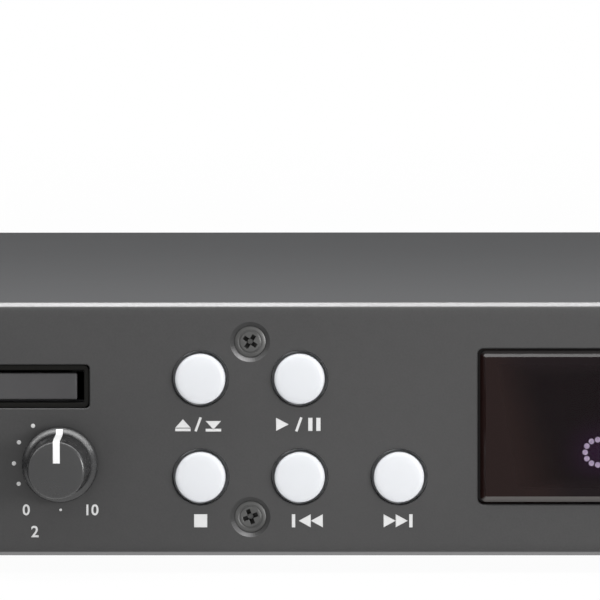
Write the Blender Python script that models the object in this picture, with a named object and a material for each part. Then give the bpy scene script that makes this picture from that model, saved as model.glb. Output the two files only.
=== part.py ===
"""Karaoke disc player in a one-unit rack case, built from its separate pieces.

Metres, +Z up, +X to the player's right as seen from the front, front towards -Y.
The origin is the centre of the footprint, on the surface that the feet stand on.
"""
import math

import bmesh
import bpy
from mathutils import Vector

MM = 0.001
DEGREE = math.pi / 180.0

# Clearances that all pieces share
GAP = 0.3 * MM                  # between pieces that touch
OVERRUN = 2.0 * MM              # how far a cutter runs past a face
SINK = 0.4 * MM                 # how deep fused shapes reach into each other

# Case
BODY_WIDTH = 430.0 * MM
BODY_DEPTH = 240.0 * MM         # front of the panel to the rear sheet
BODY_HEIGHT = 41.5 * MM
SHEET = 1.0 * MM
FOOT_HEIGHT = 4.2 * MM
FOOT_RADIUS = 10.0 * MM
FOOT_TAPER = 1.0 * MM
FOOT_HOLE_RADIUS = 3.5 * MM
FOOT_HOLE_DEPTH = 2.2 * MM
FOOT_INSET_X = 26.0 * MM
FOOT_INSET_Y = 24.0 * MM
LIP_HEIGHT = 12.0 * MM
COVER_BEND = 1.5 * MM
VENT_LENGTH = 22.0 * MM
VENT_WIDTH = 2.6 * MM
VENT_PITCH = 7.0 * MM
SIDE_VENTS = 9
TOP_VENTS = 8
COVER_SCREW_RADIUS = 3.0 * MM
COVER_SCREW_HEIGHT = 1.4 * MM
COVER_SCREW_INSET = 33.2 * MM   # from the cover's front and rear edges
STANDOFF_HEIGHT = 3.5 * MM
STANDOFF_RADIUS = 3.0 * MM
BOARD_THICKNESS = 1.6 * MM

# Front panel
EAR_REACH = 26.3 * MM           # panel beyond each side of the case
PANEL_HEIGHT = 44.0 * MM
PANEL_THICKNESS = 3.0 * MM
PANEL_DROP = 1.5 * MM           # panel edge below the chassis
PANEL_CHAMFER = 0.6 * MM
PANEL_CORNER = 1.2 * MM
RACK_SLOT_INSET = 8.7 * MM      # slot centre to the panel's end
RACK_SLOT_Z = 15.875 * MM
RACK_SLOT_LENGTH = 10.3 * MM
RACK_SLOT_WIDTH = 6.8 * MM

# Panel screws
SCREW_X = -8.7 * MM
SCREW_END_INSET = 7.5 * MM      # end screws to the side of the case
SCREW_Z = 15.25 * MM
SCREW_SHANK = 1.5 * MM
SCREW_CLEAR = 1.8 * MM
SCREW_HEAD = 2.7 * MM
SCREW_SINK_RADIUS = 3.5 * MM
SCREW_RECESS = 0.55 * MM
SCREW_LENGTH = 7.5 * MM
CROSS_LENGTH = 3.0 * MM
CROSS_WIDTH = 0.75 * MM
CROSS_DEPTH = 1.0 * MM

# Buttons
BUTTON_X = 0.1 * MM             # middle column, left of the centre line
BUTTON_PITCH = 17.25 * MM
BUTTON_HIGH_Z = 33.85 * MM
BUTTON_LOW_Z = 16.75 * MM
BUTTON_RADIUS = 4.35 * MM
BUTTON_HOLE = 4.9 * MM
BUTTON_PROUD = 1.8 * MM
BUTTON_EDGE = 0.6 * MM
BUTTON_FLANGE = 5.8 * MM
BUTTON_FLANGE_THICK = 0.8 * MM
BUTTON_STEM = 1.5 * MM
BUTTON_TRAVEL = 0.6 * MM
SWITCH_SIZE = 6.0 * MM
SWITCH_DEPTH = 3.5 * MM
PLUNGER_RADIUS = 1.7 * MM
PLUNGER_LENGTH = 1.2 * MM
BUTTON_BOARD_SETBACK = 9.0 * MM  # chassis wall to board
BUTTON_BOARD_MARGIN = 11.5 * MM
BUTTON_BOARD_EDGE = 9.0 * MM

# Knobs, microphone sockets and their board
CONTROL_Z = 19.1 * MM
KNOB_X = -41.7 * MM             # the knob nearest to the buttons
KNOB_PITCH = 29.1 * MM
KNOB_RADIUS = 6.6 * MM
KNOB_FACE_RADIUS = 5.0 * MM
KNOB_REACH = 16.0 * MM          # knob face in front of the panel
KNOB_STAND = 0.5 * MM           # space between panel and skirt
KNOB_SKIRT = 2.6 * MM
KNOB_EDGE = 0.8 * MM
POINTER_WIDTH = 1.2 * MM
POINTER_DEPTH = 0.3 * MM
SHAFT_RADIUS = 3.0 * MM
SHAFT_DEPTH = 9.0 * MM          # shaft behind the panel front
BUSHING_BORE = 3.3 * MM
BUSHING_RADIUS = 4.2 * MM
BUSHING_HOLE = 4.5 * MM
POT_WIDTH = 12.0 * MM
POT_DEPTH = 8.5 * MM
POT_TOP = 6.0 * MM
MIC_X = -129.0 * MM             # the socket nearest to the knobs
MIC_PITCH = 29.1 * MM
MIC_BORE = 3.25 * MM
MIC_BORE_DEPTH = 26.0 * MM
MIC_BUSHING = 4.45 * MM
MIC_HOLE = 4.8 * MM
MIC_PROUD = 3.0 * MM
MIC_BODY_WIDTH = 15.0 * MM
MIC_BODY_DEPTH = 23.0 * MM
MIC_BODY_TOP = 7.5 * MM
NUT_FLATS = 12.0 * MM
NUT_THICKNESS = 2.2 * MM
MIC_BOARD_DEPTH = 27.0 * MM
MIC_BOARD_MARGIN = 11.0 * MM

# Display
WINDOW_LEFT = 30.8 * MM
WINDOW_WIDTH = 100.1 * MM
WINDOW_LOW = 8.9 * MM           # above the panel's lower edge
WINDOW_HEIGHT = 27.2 * MM
WINDOW_CORNER = 1.0 * MM
LENS_PROUD = 0.4 * MM
LENS_CHAMFER = 1.0 * MM
LENS_FLANGE = 2.6 * MM
TUBE_WIDTH = 84.0 * MM
TUBE_HEIGHT = 22.0 * MM
TUBE_DEPTH = 6.0 * MM
DISPLAY_BOARD_MARGIN = 4.0 * MM

# Power switch and memory socket
ROCKER_X = -193.0 * MM
SWITCH_WIDTH = 13.0 * MM
SWITCH_HEIGHT = 19.2 * MM
SWITCH_BODY_DEPTH = 16.5 * MM
BEZEL_WIDTH = 15.0 * MM
BEZEL_HEIGHT = 21.0 * MM
BEZEL_THICKNESS = 2.0 * MM
ROCKER_WIDTH = 9.4 * MM
ROCKER_HALF = 7.4 * MM
ROCKER_WELL_DEPTH = 9.0 * MM
ROCKER_TIP = 3.4 * MM
ROCKER_WAIST = 2.1 * MM
ROCKER_BELLY = 4.2 * MM
ROCKER_TILT = 8.0 * DEGREE
USB_X = 152.0 * MM
USB_WIDTH = 13.1 * MM
USB_HEIGHT = 5.7 * MM
USB_DEPTH = 14.0 * MM
USB_WALL = 0.5 * MM
USB_TONGUE = 1.8 * MM
USB_BRACKET = 8.0 * MM

# Tray
SLOT_CENTRE_X = -104.1 * MM
SLOT_WIDTH = 135.0 * MM
SLOT_LOW = 28.7 * MM
SLOT_HEIGHT = 7.6 * MM
SLOT_CORNER = 0.7 * MM
TRAY_LIP_WIDTH = 130.6 * MM
TRAY_LIP_HEIGHT = 4.6 * MM
TRAY_LIP_THICK = 3.0 * MM
TRAY_LIP_RECESS = 0.4 * MM
TRAY_WIDTH = 127.4 * MM
TRAY_LENGTH = 176.0 * MM
TRAY_HEIGHT = 3.8 * MM
TRAY_FLOOR = 1.8 * MM
TRAY_TRAVEL = 138.0 * MM
DISC_RADIUS = 60.5 * MM
SMALL_DISC_RADIUS = 40.5 * MM
SMALL_DISC_DEPTH = 0.5 * MM
DISC_FRONT = 6.5 * MM           # lip front to the disc recess
TRAY_OPENING = 42.0 * MM

# Gears
ADDENDUM_SHARE = 0.8
DEDENDUM_SHARE = 1.1
PRESSURE_ANGLE = 20.0 * DEGREE
BACKLASH = 0.3 * MM
DRIVE_MODULE = 1.0 * MM
DRIVE_TEETH = 18
PINION_TEETH = 14
DRIVE_THICKNESS = 3.0 * MM
SLED_MODULE = 0.8 * MM
SLED_TEETH = 14
PIVOT_RADIUS = 1.5 * MM
PIVOT_BORE = 1.8 * MM
PULLEY_RADIUS = 10.0 * MM
PULLEY_FLANGE = 11.5 * MM
PULLEY_THICKNESS = 3.2 * MM
BELT_SIZE = 1.2 * MM
MOTOR_PULLEY_RADIUS = 3.0 * MM
MOTOR_PULLEY_FLANGE = 4.6 * MM
LOADING_MOTOR_RADIUS = 10.0 * MM
LOADING_MOTOR_LENGTH = 16.0 * MM
MOTOR_SHAFT = 1.0 * MM
DRIVE_SETBACK = 32.5 * MM       # panel front to the drive gear's axis
PULLEY_SWING = 56.0 * DEGREE
MOTOR_OFFSET_X = -1.0 * MM
MOTOR_OFFSET_Y = 27.0 * MM

# Loader frame
FRAME_FLOOR = 2.0 * MM
FRAME_WALL = 3.0 * MM
FRAME_CLEAR = 1.4 * MM          # rack tips to the side rails
FRAME_RAIL_HEIGHT = 7.8 * MM
FRAME_BACK_MARGIN = 4.0 * MM
FRAME_POST_RADIUS = 3.5 * MM
FRAME_POST_INSET = 9.0 * MM     # posts inside the rails' outer faces
FRAME_POST_BACK = 80.0 * MM     # hub to the rear posts
TAB_REACH = 3.2 * MM
TAB_LENGTH = 8.0 * MM
TAB_THICK = 1.5 * MM
BAY_HALF_WIDTH = 50.0 * MM
BAY_FRONT = 21.0 * MM           # hub to the front edge of the bay
BAY_BACK = 98.0 * MM            # hub to the back edge of the bay
EAR_THICK = 3.0 * MM
EAR_WIDTH = 9.0 * MM
PLATFORM_REACH = 30.0 * MM
PLATFORM_FRONT = 13.0 * MM
PLATFORM_BACK = 56.0 * MM

# Traverse, which carries the hub and the pickup
TRAVERSE_HALF = 45.0 * MM
TRAVERSE_THICK = 1.8 * MM
TRAVERSE_RIM = 4.2 * MM
TRAVERSE_FRONT = 18.0 * MM
TRAVERSE_LENGTH = 92.0 * MM     # hub to the pivot line
TRAVERSE_TILT = 4.2 * DEGREE
TRAVERSE_Z = 21.9 * MM
SLIDER_TRAVEL = 15.0 * MM
SLIDER_THICK = 2.0 * MM
SLIDER_LENGTH = 50.0 * MM
SLIDER_END_CLEAR = 3.5 * MM     # slider to the front post beside it
SLIDER_HEIGHT = 15.0 * MM
SLIDER_PIN_X = -14.0 * MM
SLIDER_CLEAR = 4.6 * MM
SLIDER_RAIL = 2.0 * MM
SLIDER_SLOT_CLEAR = 0.45 * MM
HUB_TABLE_RADIUS = 15.0 * MM
HUB_TABLE_THICK = 2.5 * MM
HUB_RISE = 1.5 * MM             # turntable top above the tray floor
HUB_CONE_RADIUS = 7.4 * MM
HUB_CONE_HEIGHT = 2.0 * MM
HUB_SHAFT = 1.0 * MM
SPINDLE_RADIUS = 12.5 * MM
SPINDLE_HEIGHT = 6.6 * MM
SLED_HALF_WIDTH = 19.0 * MM
SLED_LENGTH = 24.0 * MM
SLED_OFFSET = 14.0 * MM         # hub to the front of the sled
SLED_TRAVEL = 35.0 * MM
SLED_HEIGHT = 5.2 * MM
LENS_RADIUS = 3.5 * MM
LENS_MOUNT_RADIUS = 5.0 * MM
LENS_MOUNT_HEIGHT = 2.0 * MM
ROD_RADIUS = 1.5 * MM
ROD_X = 14.0 * MM
ROD_BORE = 1.85 * MM
RACK_WIDTH = 4.0 * MM
RACK_THICK = 2.4 * MM
SLED_MOTOR_RADIUS = 5.0 * MM
SLED_MOTOR_LENGTH = 7.0 * MM

# Clamp above the disc
BRIDGE_WIDTH = 38.0 * MM
BRIDGE_THICK = 1.5 * MM
BRIDGE_HOLE = 12.5 * MM
PUCK_RADIUS = 15.5 * MM
PUCK_NECK = 11.0 * MM
PUCK_PLATE = 2.6 * MM
PUCK_WELL_DEPTH = 2.3 * MM
PUCK_WELL_RADIUS = 8.6 * MM
PUCK_CAP = 1.4 * MM

# Boards, mains parts and rear sockets
MAIN_BOARD_WIDTH = 170.0 * MM
MAIN_BOARD_DEPTH = 44.0 * MM
MAIN_BOARD_X = -85.0 * MM
POWER_BOARD_WIDTH = 120.0 * MM
POWER_BOARD_DEPTH = 130.0 * MM
POWER_BOARD_X = 132.0 * MM
POWER_BOARD_REAR = 28.5 * MM    # board to the rear face
TRANSFORMER_WIDTH = 30.0 * MM
TRANSFORMER_DEPTH = 26.0 * MM
TRANSFORMER_HEIGHT = 20.0 * MM
COIL_WIDTH = 20.0 * MM
COIL_OVERHANG = 4.0 * MM
CAPACITOR_RADIUS = 9.0 * MM
CAPACITOR_HEIGHT = 24.0 * MM
SMALL_CAPACITOR_RADIUS = 4.0 * MM
SMALL_CAPACITOR_HEIGHT = 11.0 * MM
CHIP_WIDTH = 20.0 * MM
CHIP_HEIGHT = 2.0 * MM
SINK_WIDTH = 24.0 * MM
SINK_DEPTH = 10.0 * MM
SINK_HEIGHT = 22.0 * MM
INLET_X = 178.0 * MM
INLET_Z = 24.0 * MM
INLET_FLANGE_WIDTH = 31.0 * MM
INLET_FLANGE_HEIGHT = 24.0 * MM
INLET_FLANGE_THICK = 2.5 * MM
INLET_WIDTH = 27.0 * MM
INLET_HEIGHT = 20.0 * MM
INLET_DEPTH = 20.0 * MM
INLET_WELL_WIDTH = 24.2 * MM
INLET_WELL_HEIGHT = 16.6 * MM
INLET_WELL_DEPTH = 16.0 * MM
INLET_WELL_CHAMFER = 4.0 * MM
BLADE_WIDTH = 2.0 * MM
BLADE_HEIGHT = 4.0 * MM
BLADE_PITCH = 7.0 * MM
BLADE_RISE = 2.0 * MM
BLADE_LENGTH = 13.0 * MM
JACK_REACH = 9.0 * MM           # signal sockets behind the rear sheet
JACK_PITCH = 14.0 * MM
JACK_COLUMNS = 4
JACK_ROWS = 2
JACK_X = -120.0 * MM
JACK_Z = 19.0 * MM
JACK_RADIUS = 4.2 * MM
JACK_BORE = 1.7 * MM
JACK_HOLE = 4.6 * MM
JACK_BODY_DEPTH = 12.0 * MM

# Levels and faces that follow from the sizes above
PANEL_WIDTH = BODY_WIDTH + 2 * EAR_REACH
RACK_SLOT_X = PANEL_WIDTH / 2 - RACK_SLOT_INSET
SCREW_END_X = BODY_WIDTH / 2 - SCREW_END_INSET
OVERALL_DEPTH = KNOB_REACH + BODY_DEPTH + JACK_REACH
PANEL_FRONT = KNOB_REACH - OVERALL_DEPTH / 2
PANEL_BACK = PANEL_FRONT + PANEL_THICKNESS
REAR_FACE = PANEL_FRONT + BODY_DEPTH
WALL_FRONT = PANEL_BACK + GAP
WALL_BACK = WALL_FRONT + SHEET
BASE_LOW = FOOT_HEIGHT + GAP
BASE_TOP = BASE_LOW + SHEET
LID_TOP = BASE_LOW + BODY_HEIGHT
LID_UNDER = LID_TOP - SHEET
PANEL_LOW = BASE_LOW - PANEL_DROP
PANEL_MID = PANEL_LOW + PANEL_HEIGHT / 2
CHASSIS_HALF = BODY_WIDTH / 2 - SHEET - GAP
BOARD_LOW = BASE_TOP + STANDOFF_HEIGHT + GAP
BOARD_TOP = BOARD_LOW + BOARD_THICKNESS
TRAY_LOW = SLOT_LOW + (SLOT_HEIGHT - TRAY_LIP_HEIGHT) / 2
TRAY_TOP = TRAY_LOW + TRAY_HEIGHT
TRAY_FLOOR_TOP = TRAY_LOW + TRAY_FLOOR
TRAY_FRONT = PANEL_FRONT + TRAY_LIP_RECESS
TRAY_BACK = TRAY_FRONT + TRAY_LENGTH
HUB_X = SLOT_CENTRE_X
HUB_Y = TRAY_FRONT + DISC_FRONT + DISC_RADIUS
FRAME_TOP = TRAY_LOW - GAP
FRAME_LOW = FRAME_TOP - FRAME_FLOOR
FRAME_BACK = TRAY_BACK + FRAME_BACK_MARGIN
RACK_PITCH_X = HUB_X - TRAY_WIDTH / 2 - DEDENDUM_SHARE * DRIVE_MODULE
RAIL_INNER = HUB_X - RACK_PITCH_X + ADDENDUM_SHARE * DRIVE_MODULE + FRAME_CLEAR
RAIL_OUTER = RAIL_INNER + FRAME_WALL
RAIL_TOP = FRAME_TOP + FRAME_RAIL_HEIGHT
DRIVE_RADIUS = DRIVE_MODULE * DRIVE_TEETH / 2
PINION_RADIUS = DRIVE_MODULE * PINION_TEETH / 2
DRIVE_X = RACK_PITCH_X - DRIVE_RADIUS
DRIVE_Y = PANEL_FRONT + DRIVE_SETBACK
GEAR_LOW = FRAME_TOP + 2 * GAP
GEAR_TOP = GEAR_LOW + DRIVE_THICKNESS
PULLEY_X = DRIVE_X - (DRIVE_RADIUS + PINION_RADIUS) * math.cos(PULLEY_SWING)
PULLEY_Y = DRIVE_Y + (DRIVE_RADIUS + PINION_RADIUS) * math.sin(PULLEY_SWING)
PULLEY_LOW = GEAR_TOP + 2 * GAP
PULLEY_TOP = PULLEY_LOW + PULLEY_THICKNESS
MOTOR_X = PULLEY_X + MOTOR_OFFSET_X
MOTOR_Y = PULLEY_Y + MOTOR_OFFSET_Y
PIVOT_Y = HUB_Y + TRAVERSE_LENGTH
TRAVERSE_TOP = TRAVERSE_Z + TRAVERSE_THICK
PIVOT_Z = TRAVERSE_Z + PIVOT_RADIUS
TABLE_TOP = TRAY_FLOOR_TOP + HUB_RISE
TABLE_LOW = TABLE_TOP - HUB_TABLE_THICK
SLED_LOW = TRAVERSE_TOP + GAP
SLED_TOP = SLED_LOW + SLED_HEIGHT
SLED_FRONT = HUB_Y + SLED_OFFSET
ROD_Z = SLED_LOW + SLED_HEIGHT / 2
SLED_GEAR_RADIUS = SLED_MODULE * SLED_TEETH / 2
SLED_RACK_X = SLED_HALF_WIDTH + RACK_WIDTH
SLED_GEAR_X = HUB_X + SLED_RACK_X + SLED_GEAR_RADIUS
SLED_GEAR_Y = SLED_FRONT + SLED_TRAVEL + SLED_MODULE * math.pi
BRIDGE_LOW = RAIL_TOP + GAP
BRIDGE_TOP = BRIDGE_LOW + BRIDGE_THICK
PUCK_LOW = TABLE_TOP + GAP
BUTTON_BOARD_Y = WALL_BACK + BUTTON_BOARD_SETBACK
WINDOW_X = WINDOW_LEFT + WINDOW_WIDTH / 2
WINDOW_Z = PANEL_LOW + WINDOW_LOW + WINDOW_HEIGHT / 2
POST_Y = BUTTON_BOARD_Y - GAP
POWER_BOARD_Y = REAR_FACE - POWER_BOARD_REAR - POWER_BOARD_DEPTH / 2


# Outlines: closed loops of (u, v) points

def rectangle(left, low, right, high):
    return [(left, low), (right, low), (right, high), (left, high)]


def arc(u, v, radius, start, end, count):
    """count + 1 points on an arc."""
    step = (end - start) / count
    return [(u + radius * math.cos(start + step * i), v + radius * math.sin(start + step * i))
            for i in range(count + 1)]


def circle(u, v, radius, count=16, turn=0.0):
    return [(u + radius * math.cos(turn + math.tau * i / count),
             v + radius * math.sin(turn + math.tau * i / count)) for i in range(count)]


def rounded(left, low, right, high, radius, count=3):
    """A rectangle with round corners."""
    quarter = math.pi / 2
    corners = [(right - radius, low + radius, -quarter), (right - radius, high - radius, 0.0),
               (left + radius, high - radius, quarter), (left + radius, low + radius, 2 * quarter)]
    loop = []
    for u, v, start in corners:
        loop += arc(u, v, radius, start, start + quarter, count)
    return loop


def stadium(start, end, radius, count=6):
    """A slot outline around the line from start to end."""
    angle = math.atan2(end[1] - start[1], end[0] - start[0])
    quarter = math.pi / 2
    return (arc(end[0], end[1], radius, angle - quarter, angle + quarter, count)
            + arc(start[0], start[1], radius, angle + quarter, angle + 3 * quarter, count))


def gear_outline(u, v, teeth, module, turn):
    """Teeth with straight flanks drawn inside the involute; one tooth points at turn."""
    pitch = module * teeth / 2
    base = pitch * math.cos(PRESSURE_ANGLE)
    tip = pitch + ADDENDUM_SHARE * module
    root = pitch - DEDENDUM_SHARE * module
    involute = math.tan(PRESSURE_ANGLE) - PRESSURE_ANGLE
    half = math.pi / (2 * teeth) - BACKLASH / (4 * pitch) + involute
    slope = math.acos(base / tip)
    flank = [(root, half), (tip, half - (math.tan(slope) - slope))]
    loop = []
    for tooth in range(teeth):
        centre = turn + math.tau * tooth / teeth
        for radius, angle in flank:
            loop.append((u + radius * math.cos(centre - angle), v + radius * math.sin(centre - angle)))
        for radius, angle in reversed(flank):
            loop.append((u + radius * math.cos(centre + angle), v + radius * math.sin(centre + angle)))
    return loop


def rack_teeth(low, high, module, meshing):
    """Points (reach, place) of straight teeth between low and high; a gap faces meshing."""
    pitch = math.pi * module
    slope = math.tan(PRESSURE_ANGLE)
    tip = pitch / 4 - BACKLASH / 4 - ADDENDUM_SHARE * module * slope
    root = pitch / 4 - BACKLASH / 4 + DEDENDUM_SHARE * module * slope
    first = meshing + pitch / 2 - pitch * math.floor((meshing + pitch / 2 - root - low) / pitch)
    points = []
    centre = first
    while centre + root < high:
        points += [(-DEDENDUM_SHARE * module, centre - root), (ADDENDUM_SHARE * module, centre - tip),
                   (ADDENDUM_SHARE * module, centre + tip), (-DEDENDUM_SHARE * module, centre + root)]
        centre += pitch
    return points


# Solids

def place(axis, u, v, depth):
    """World point of an outline point: axis is the direction of depth."""
    if axis == "X":
        return Vector((depth, u, v))
    if axis == "Y":
        return Vector((u, depth, v))
    return Vector((u, v, depth))


def to_object(mesh_data):
    bmesh.ops.recalc_face_normals(mesh_data, faces=mesh_data.faces[:])
    mesh = bpy.data.meshes.new("shape")
    mesh_data.to_mesh(mesh)
    mesh_data.free()
    shape = bpy.data.objects.new("shape", mesh)
    bpy.context.scene.collection.objects.link(shape)
    return shape


def lofted(axis, stacks):
    """A solid between two flat ends. Each stack is a wall: a list of (loop, depth)
    with as many points in each loop. The first wall is outside, the others are holes."""
    mesh_data = bmesh.new()
    for end in (0, -1):
        edges = []
        for stack in stacks:
            loop, depth = stack[end]
            ring = [mesh_data.verts.new(place(axis, u, v, depth)) for u, v in loop]
            edges += [mesh_data.edges.new((ring[i - 1], ring[i])) for i in range(len(ring))]
        bmesh.ops.triangle_fill(mesh_data, use_beauty=True, use_dissolve=False, edges=edges)
    mesh_data.verts.ensure_lookup_table()
    count = sum(len(stack[0][0]) for stack in stacks)
    first = 0
    for stack in stacks:
        size = len(stack[0][0])
        rings = [[mesh_data.verts[first + i] for i in range(size)]]
        for loop, depth in stack[1:-1]:
            rings.append([mesh_data.verts.new(place(axis, u, v, depth)) for u, v in loop])
            mesh_data.verts.ensure_lookup_table()
        rings.append([mesh_data.verts[count + first + i] for i in range(size)])
        for near, far in zip(rings, rings[1:]):
            for i in range(size):
                mesh_data.faces.new((near[i - 1], near[i], far[i], far[i - 1]))
        first += size
    return to_object(mesh_data)


def prism(axis, loop, low, high, holes=()):
    return lofted(axis, [[(hole, low), (hole, high)] for hole in (loop, *holes)])


def block(left, right, front, back, low, high):
    return prism("Z", rectangle(left, front, right, back), low, high)


def cylinder(axis, u, v, radius, low, high, count=16):
    return prism(axis, circle(u, v, radius, count), low, high)


def turned(axis, centre, profile, count=24):
    """A profile of (radius, depth) points turned about the axis through centre."""
    mesh_data = bmesh.new()
    direction = {"X": Vector((1, 0, 0)), "Y": Vector((0, 1, 0)), "Z": Vector((0, 0, 1))}[axis]
    side = Vector((0, 0, 1)) if axis != "Z" else Vector((1, 0, 0))
    middle = Vector(centre)
    line = [mesh_data.verts.new(middle + side * radius + direction * depth) for radius, depth in profile]
    closed = line + [line[0]] if profile[0][0] > 0 else line
    geometry = line + [mesh_data.edges.new(pair) for pair in zip(closed, closed[1:])]
    bmesh.ops.spin(mesh_data, geom=geometry, cent=middle, axis=direction, angle=math.tau,
                   steps=count, use_merge=True, use_duplicate=False)
    bmesh.ops.remove_doubles(mesh_data, verts=mesh_data.verts[:], dist=GAP / 1000)
    return to_object(mesh_data)


def combine(shape, others, operation):
    """One Boolean for each other shape, applied, after which those shapes are removed."""
    for other in others:
        modifier = shape.modifiers.new("combine", "BOOLEAN")
        modifier.operation = operation
        modifier.solver = "EXACT"
        modifier.object = other
    bpy.context.view_layer.update()
    evaluated = shape.evaluated_get(bpy.context.evaluated_depsgraph_get())
    mesh = bpy.data.meshes.new_from_object(evaluated)
    shape.modifiers.clear()
    shape.data = mesh
    for other in others:
        bpy.data.objects.remove(other)
    return shape


def fuse(shape, *others):
    return combine(shape, others, "UNION")


def cut(shape, *others):
    return combine(shape, others, "DIFFERENCE")


def many(shapes):
    """Separate shapes as one mesh, to cut with."""
    mesh_data = bmesh.new()
    for shape in shapes:
        mesh_data.from_mesh(shape.data)
        bpy.data.objects.remove(shape)
    return to_object(mesh_data)


def material(name, colour, roughness, metallic=0.0):
    surface = bpy.data.materials.new(name)
    surface.use_nodes = True
    shader = surface.node_tree.nodes["Principled BSDF"]
    shader.inputs["Base Color"].default_value = (*colour, 1.0)
    shader.inputs["Roughness"].default_value = roughness
    shader.inputs["Metallic"].default_value = metallic
    surface.diffuse_color = (*colour, 1.0)
    return surface


def finish(name, shape, surface, pivot=None):
    """Name and shade a piece; a moving piece gets its origin on its axis."""
    shape.name = name
    mesh = shape.data
    mesh.name = name
    mesh.materials.clear()
    mesh.materials.append(surface)
    if pivot is not None:
        for vertex in mesh.vertices:
            vertex.co -= Vector(pivot)
        shape.location = pivot
    mesh.shade_smooth()
    mesh.set_sharp_from_angle(angle=35 * DEGREE)
    return shape


# Places of the controls

def button_places():
    left, middle, right = (-BUTTON_X + BUTTON_PITCH * i for i in (-1, 0, 1))
    return {"open_button": (left, BUTTON_HIGH_Z), "play_button": (middle, BUTTON_HIGH_Z),
            "stop_button": (left, BUTTON_LOW_Z), "previous_button": (middle, BUTTON_LOW_Z),
            "next_button": (right, BUTTON_LOW_Z)}


def knob_places():
    names = ("volume_knob_2", "volume_knob_1", "echo_knob")
    return {name: KNOB_X - KNOB_PITCH * i for i, name in enumerate(names)}


def mic_places():
    return {"mic_jack_1": MIC_X - MIC_PITCH, "mic_jack_2": MIC_X}


def screw_places():
    return [(x, PANEL_MID + side * SCREW_Z) for x in (-SCREW_END_X, SCREW_X, SCREW_END_X)
            for side in (1, -1)]


def slot_outline(margin):
    half = SLOT_WIDTH / 2 + margin
    return rounded(SLOT_CENTRE_X - half, SLOT_LOW - margin, SLOT_CENTRE_X + half,
                   SLOT_LOW + SLOT_HEIGHT + margin, SLOT_CORNER + margin)


def window_outline(margin, corner=WINDOW_CORNER):
    half_width = WINDOW_WIDTH / 2 + margin
    half_height = WINDOW_HEIGHT / 2 + margin
    return rounded(WINDOW_X - half_width, WINDOW_Z - half_height, WINDOW_X + half_width,
                   WINDOW_Z + half_height, corner)


def centred(u, v, width, height, margin=0.0):
    half_width = width / 2 + margin
    half_height = height / 2 + margin
    return rectangle(u - half_width, v - half_height, u + half_width, v + half_height)


# Case pieces

def front_panel():
    half = PANEL_WIDTH / 2
    top = PANEL_LOW + PANEL_HEIGHT
    edge = rounded(-half, PANEL_LOW, half, top, PANEL_CORNER)
    inner = rounded(-half + PANEL_CHAMFER, PANEL_LOW + PANEL_CHAMFER, half - PANEL_CHAMFER,
                    top - PANEL_CHAMFER, PANEL_CORNER - PANEL_CHAMFER)
    walls = [[(inner, PANEL_FRONT), (edge, PANEL_FRONT + PANEL_CHAMFER), (edge, PANEL_BACK)]]
    cone = SCREW_SINK_RADIUS - SCREW_CLEAR
    for x, z in screw_places():
        walls.append([(circle(x, z, SCREW_SINK_RADIUS, 12), PANEL_FRONT),
                      (circle(x, z, SCREW_CLEAR, 12), PANEL_FRONT + cone),
                      (circle(x, z, SCREW_CLEAR, 12), PANEL_BACK)])
    holes = [circle(x, z, BUTTON_HOLE, 20) for x, z in button_places().values()]
    holes += [circle(x, CONTROL_Z, BUSHING_HOLE, 12) for x in knob_places().values()]
    holes += [circle(x, CONTROL_Z, MIC_HOLE) for x in mic_places().values()]
    holes += [slot_outline(0.0), window_outline(0.0)]
    holes.append(centred(ROCKER_X, PANEL_MID, SWITCH_WIDTH, SWITCH_HEIGHT, GAP))
    holes.append(centred(USB_X, PANEL_MID, USB_WIDTH, USB_HEIGHT, GAP))
    run = (RACK_SLOT_LENGTH - RACK_SLOT_WIDTH) / 2
    for x in (-RACK_SLOT_X, RACK_SLOT_X):
        for z in (PANEL_MID - RACK_SLOT_Z, PANEL_MID + RACK_SLOT_Z):
            holes.append(stadium((x - run, z), (x + run, z), RACK_SLOT_WIDTH / 2))
    walls += [[(hole, PANEL_FRONT), (hole, PANEL_BACK)] for hole in holes]
    return lofted("Y", walls)


def chassis():
    """Base, front wall and side lips, bent from one sheet, with pressed standoffs."""
    half = CHASSIS_HALF
    wall_top = LID_UNDER - GAP
    holes = [circle(x, z, SCREW_CLEAR, 8) for x, z in screw_places()]
    holes += [circle(x, z, BUTTON_FLANGE + GAP, 12) for x, z in button_places().values()]
    holes += [circle(x, CONTROL_Z, BUSHING_HOLE, 12) for x in knob_places().values()]
    holes += [circle(x, CONTROL_Z, MIC_HOLE, 12) for x in mic_places().values()]
    holes += [slot_outline(FRAME_CLEAR), window_outline(LENS_FLANGE + GAP)]
    holes.append(centred(ROCKER_X, PANEL_MID, SWITCH_WIDTH, SWITCH_HEIGHT, GAP))
    holes.append(centred(USB_X, PANEL_MID, USB_WIDTH, USB_HEIGHT, GAP))
    wall = prism("Y", rectangle(-half, BASE_LOW, half, wall_top), WALL_FRONT, WALL_BACK, holes)
    parts = [block(-half, half, WALL_FRONT, REAR_FACE, BASE_LOW, BASE_TOP)]
    lip_back = REAR_FACE - SHEET - GAP
    for inner, outer in ((-half, -half + SHEET), (half - SHEET, half)):
        parts.append(block(inner, outer, WALL_FRONT, lip_back, BASE_LOW, BASE_LOW + LIP_HEIGHT))
    for x, y in board_posts():
        parts.append(cylinder("Z", x, y, STANDOFF_RADIUS, BASE_TOP - SINK, BOARD_LOW - GAP, 6))
    for x, z in wall_posts():
        parts.append(cylinder("Y", x, z, STANDOFF_RADIUS, WALL_BACK - SINK, POST_Y, 6))
    return fuse(wall, *parts)


def board_posts():
    """Standoffs on the base, two to a side of each flat board."""
    posts = []
    for left, right, front, back in (mic_board_edges(), main_board_edges(), power_board_edges()):
        inset = STANDOFF_RADIUS + GAP
        posts += [(x, y) for x in (left + inset, right - inset) for y in (front + inset, back - inset)]
    return posts


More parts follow.
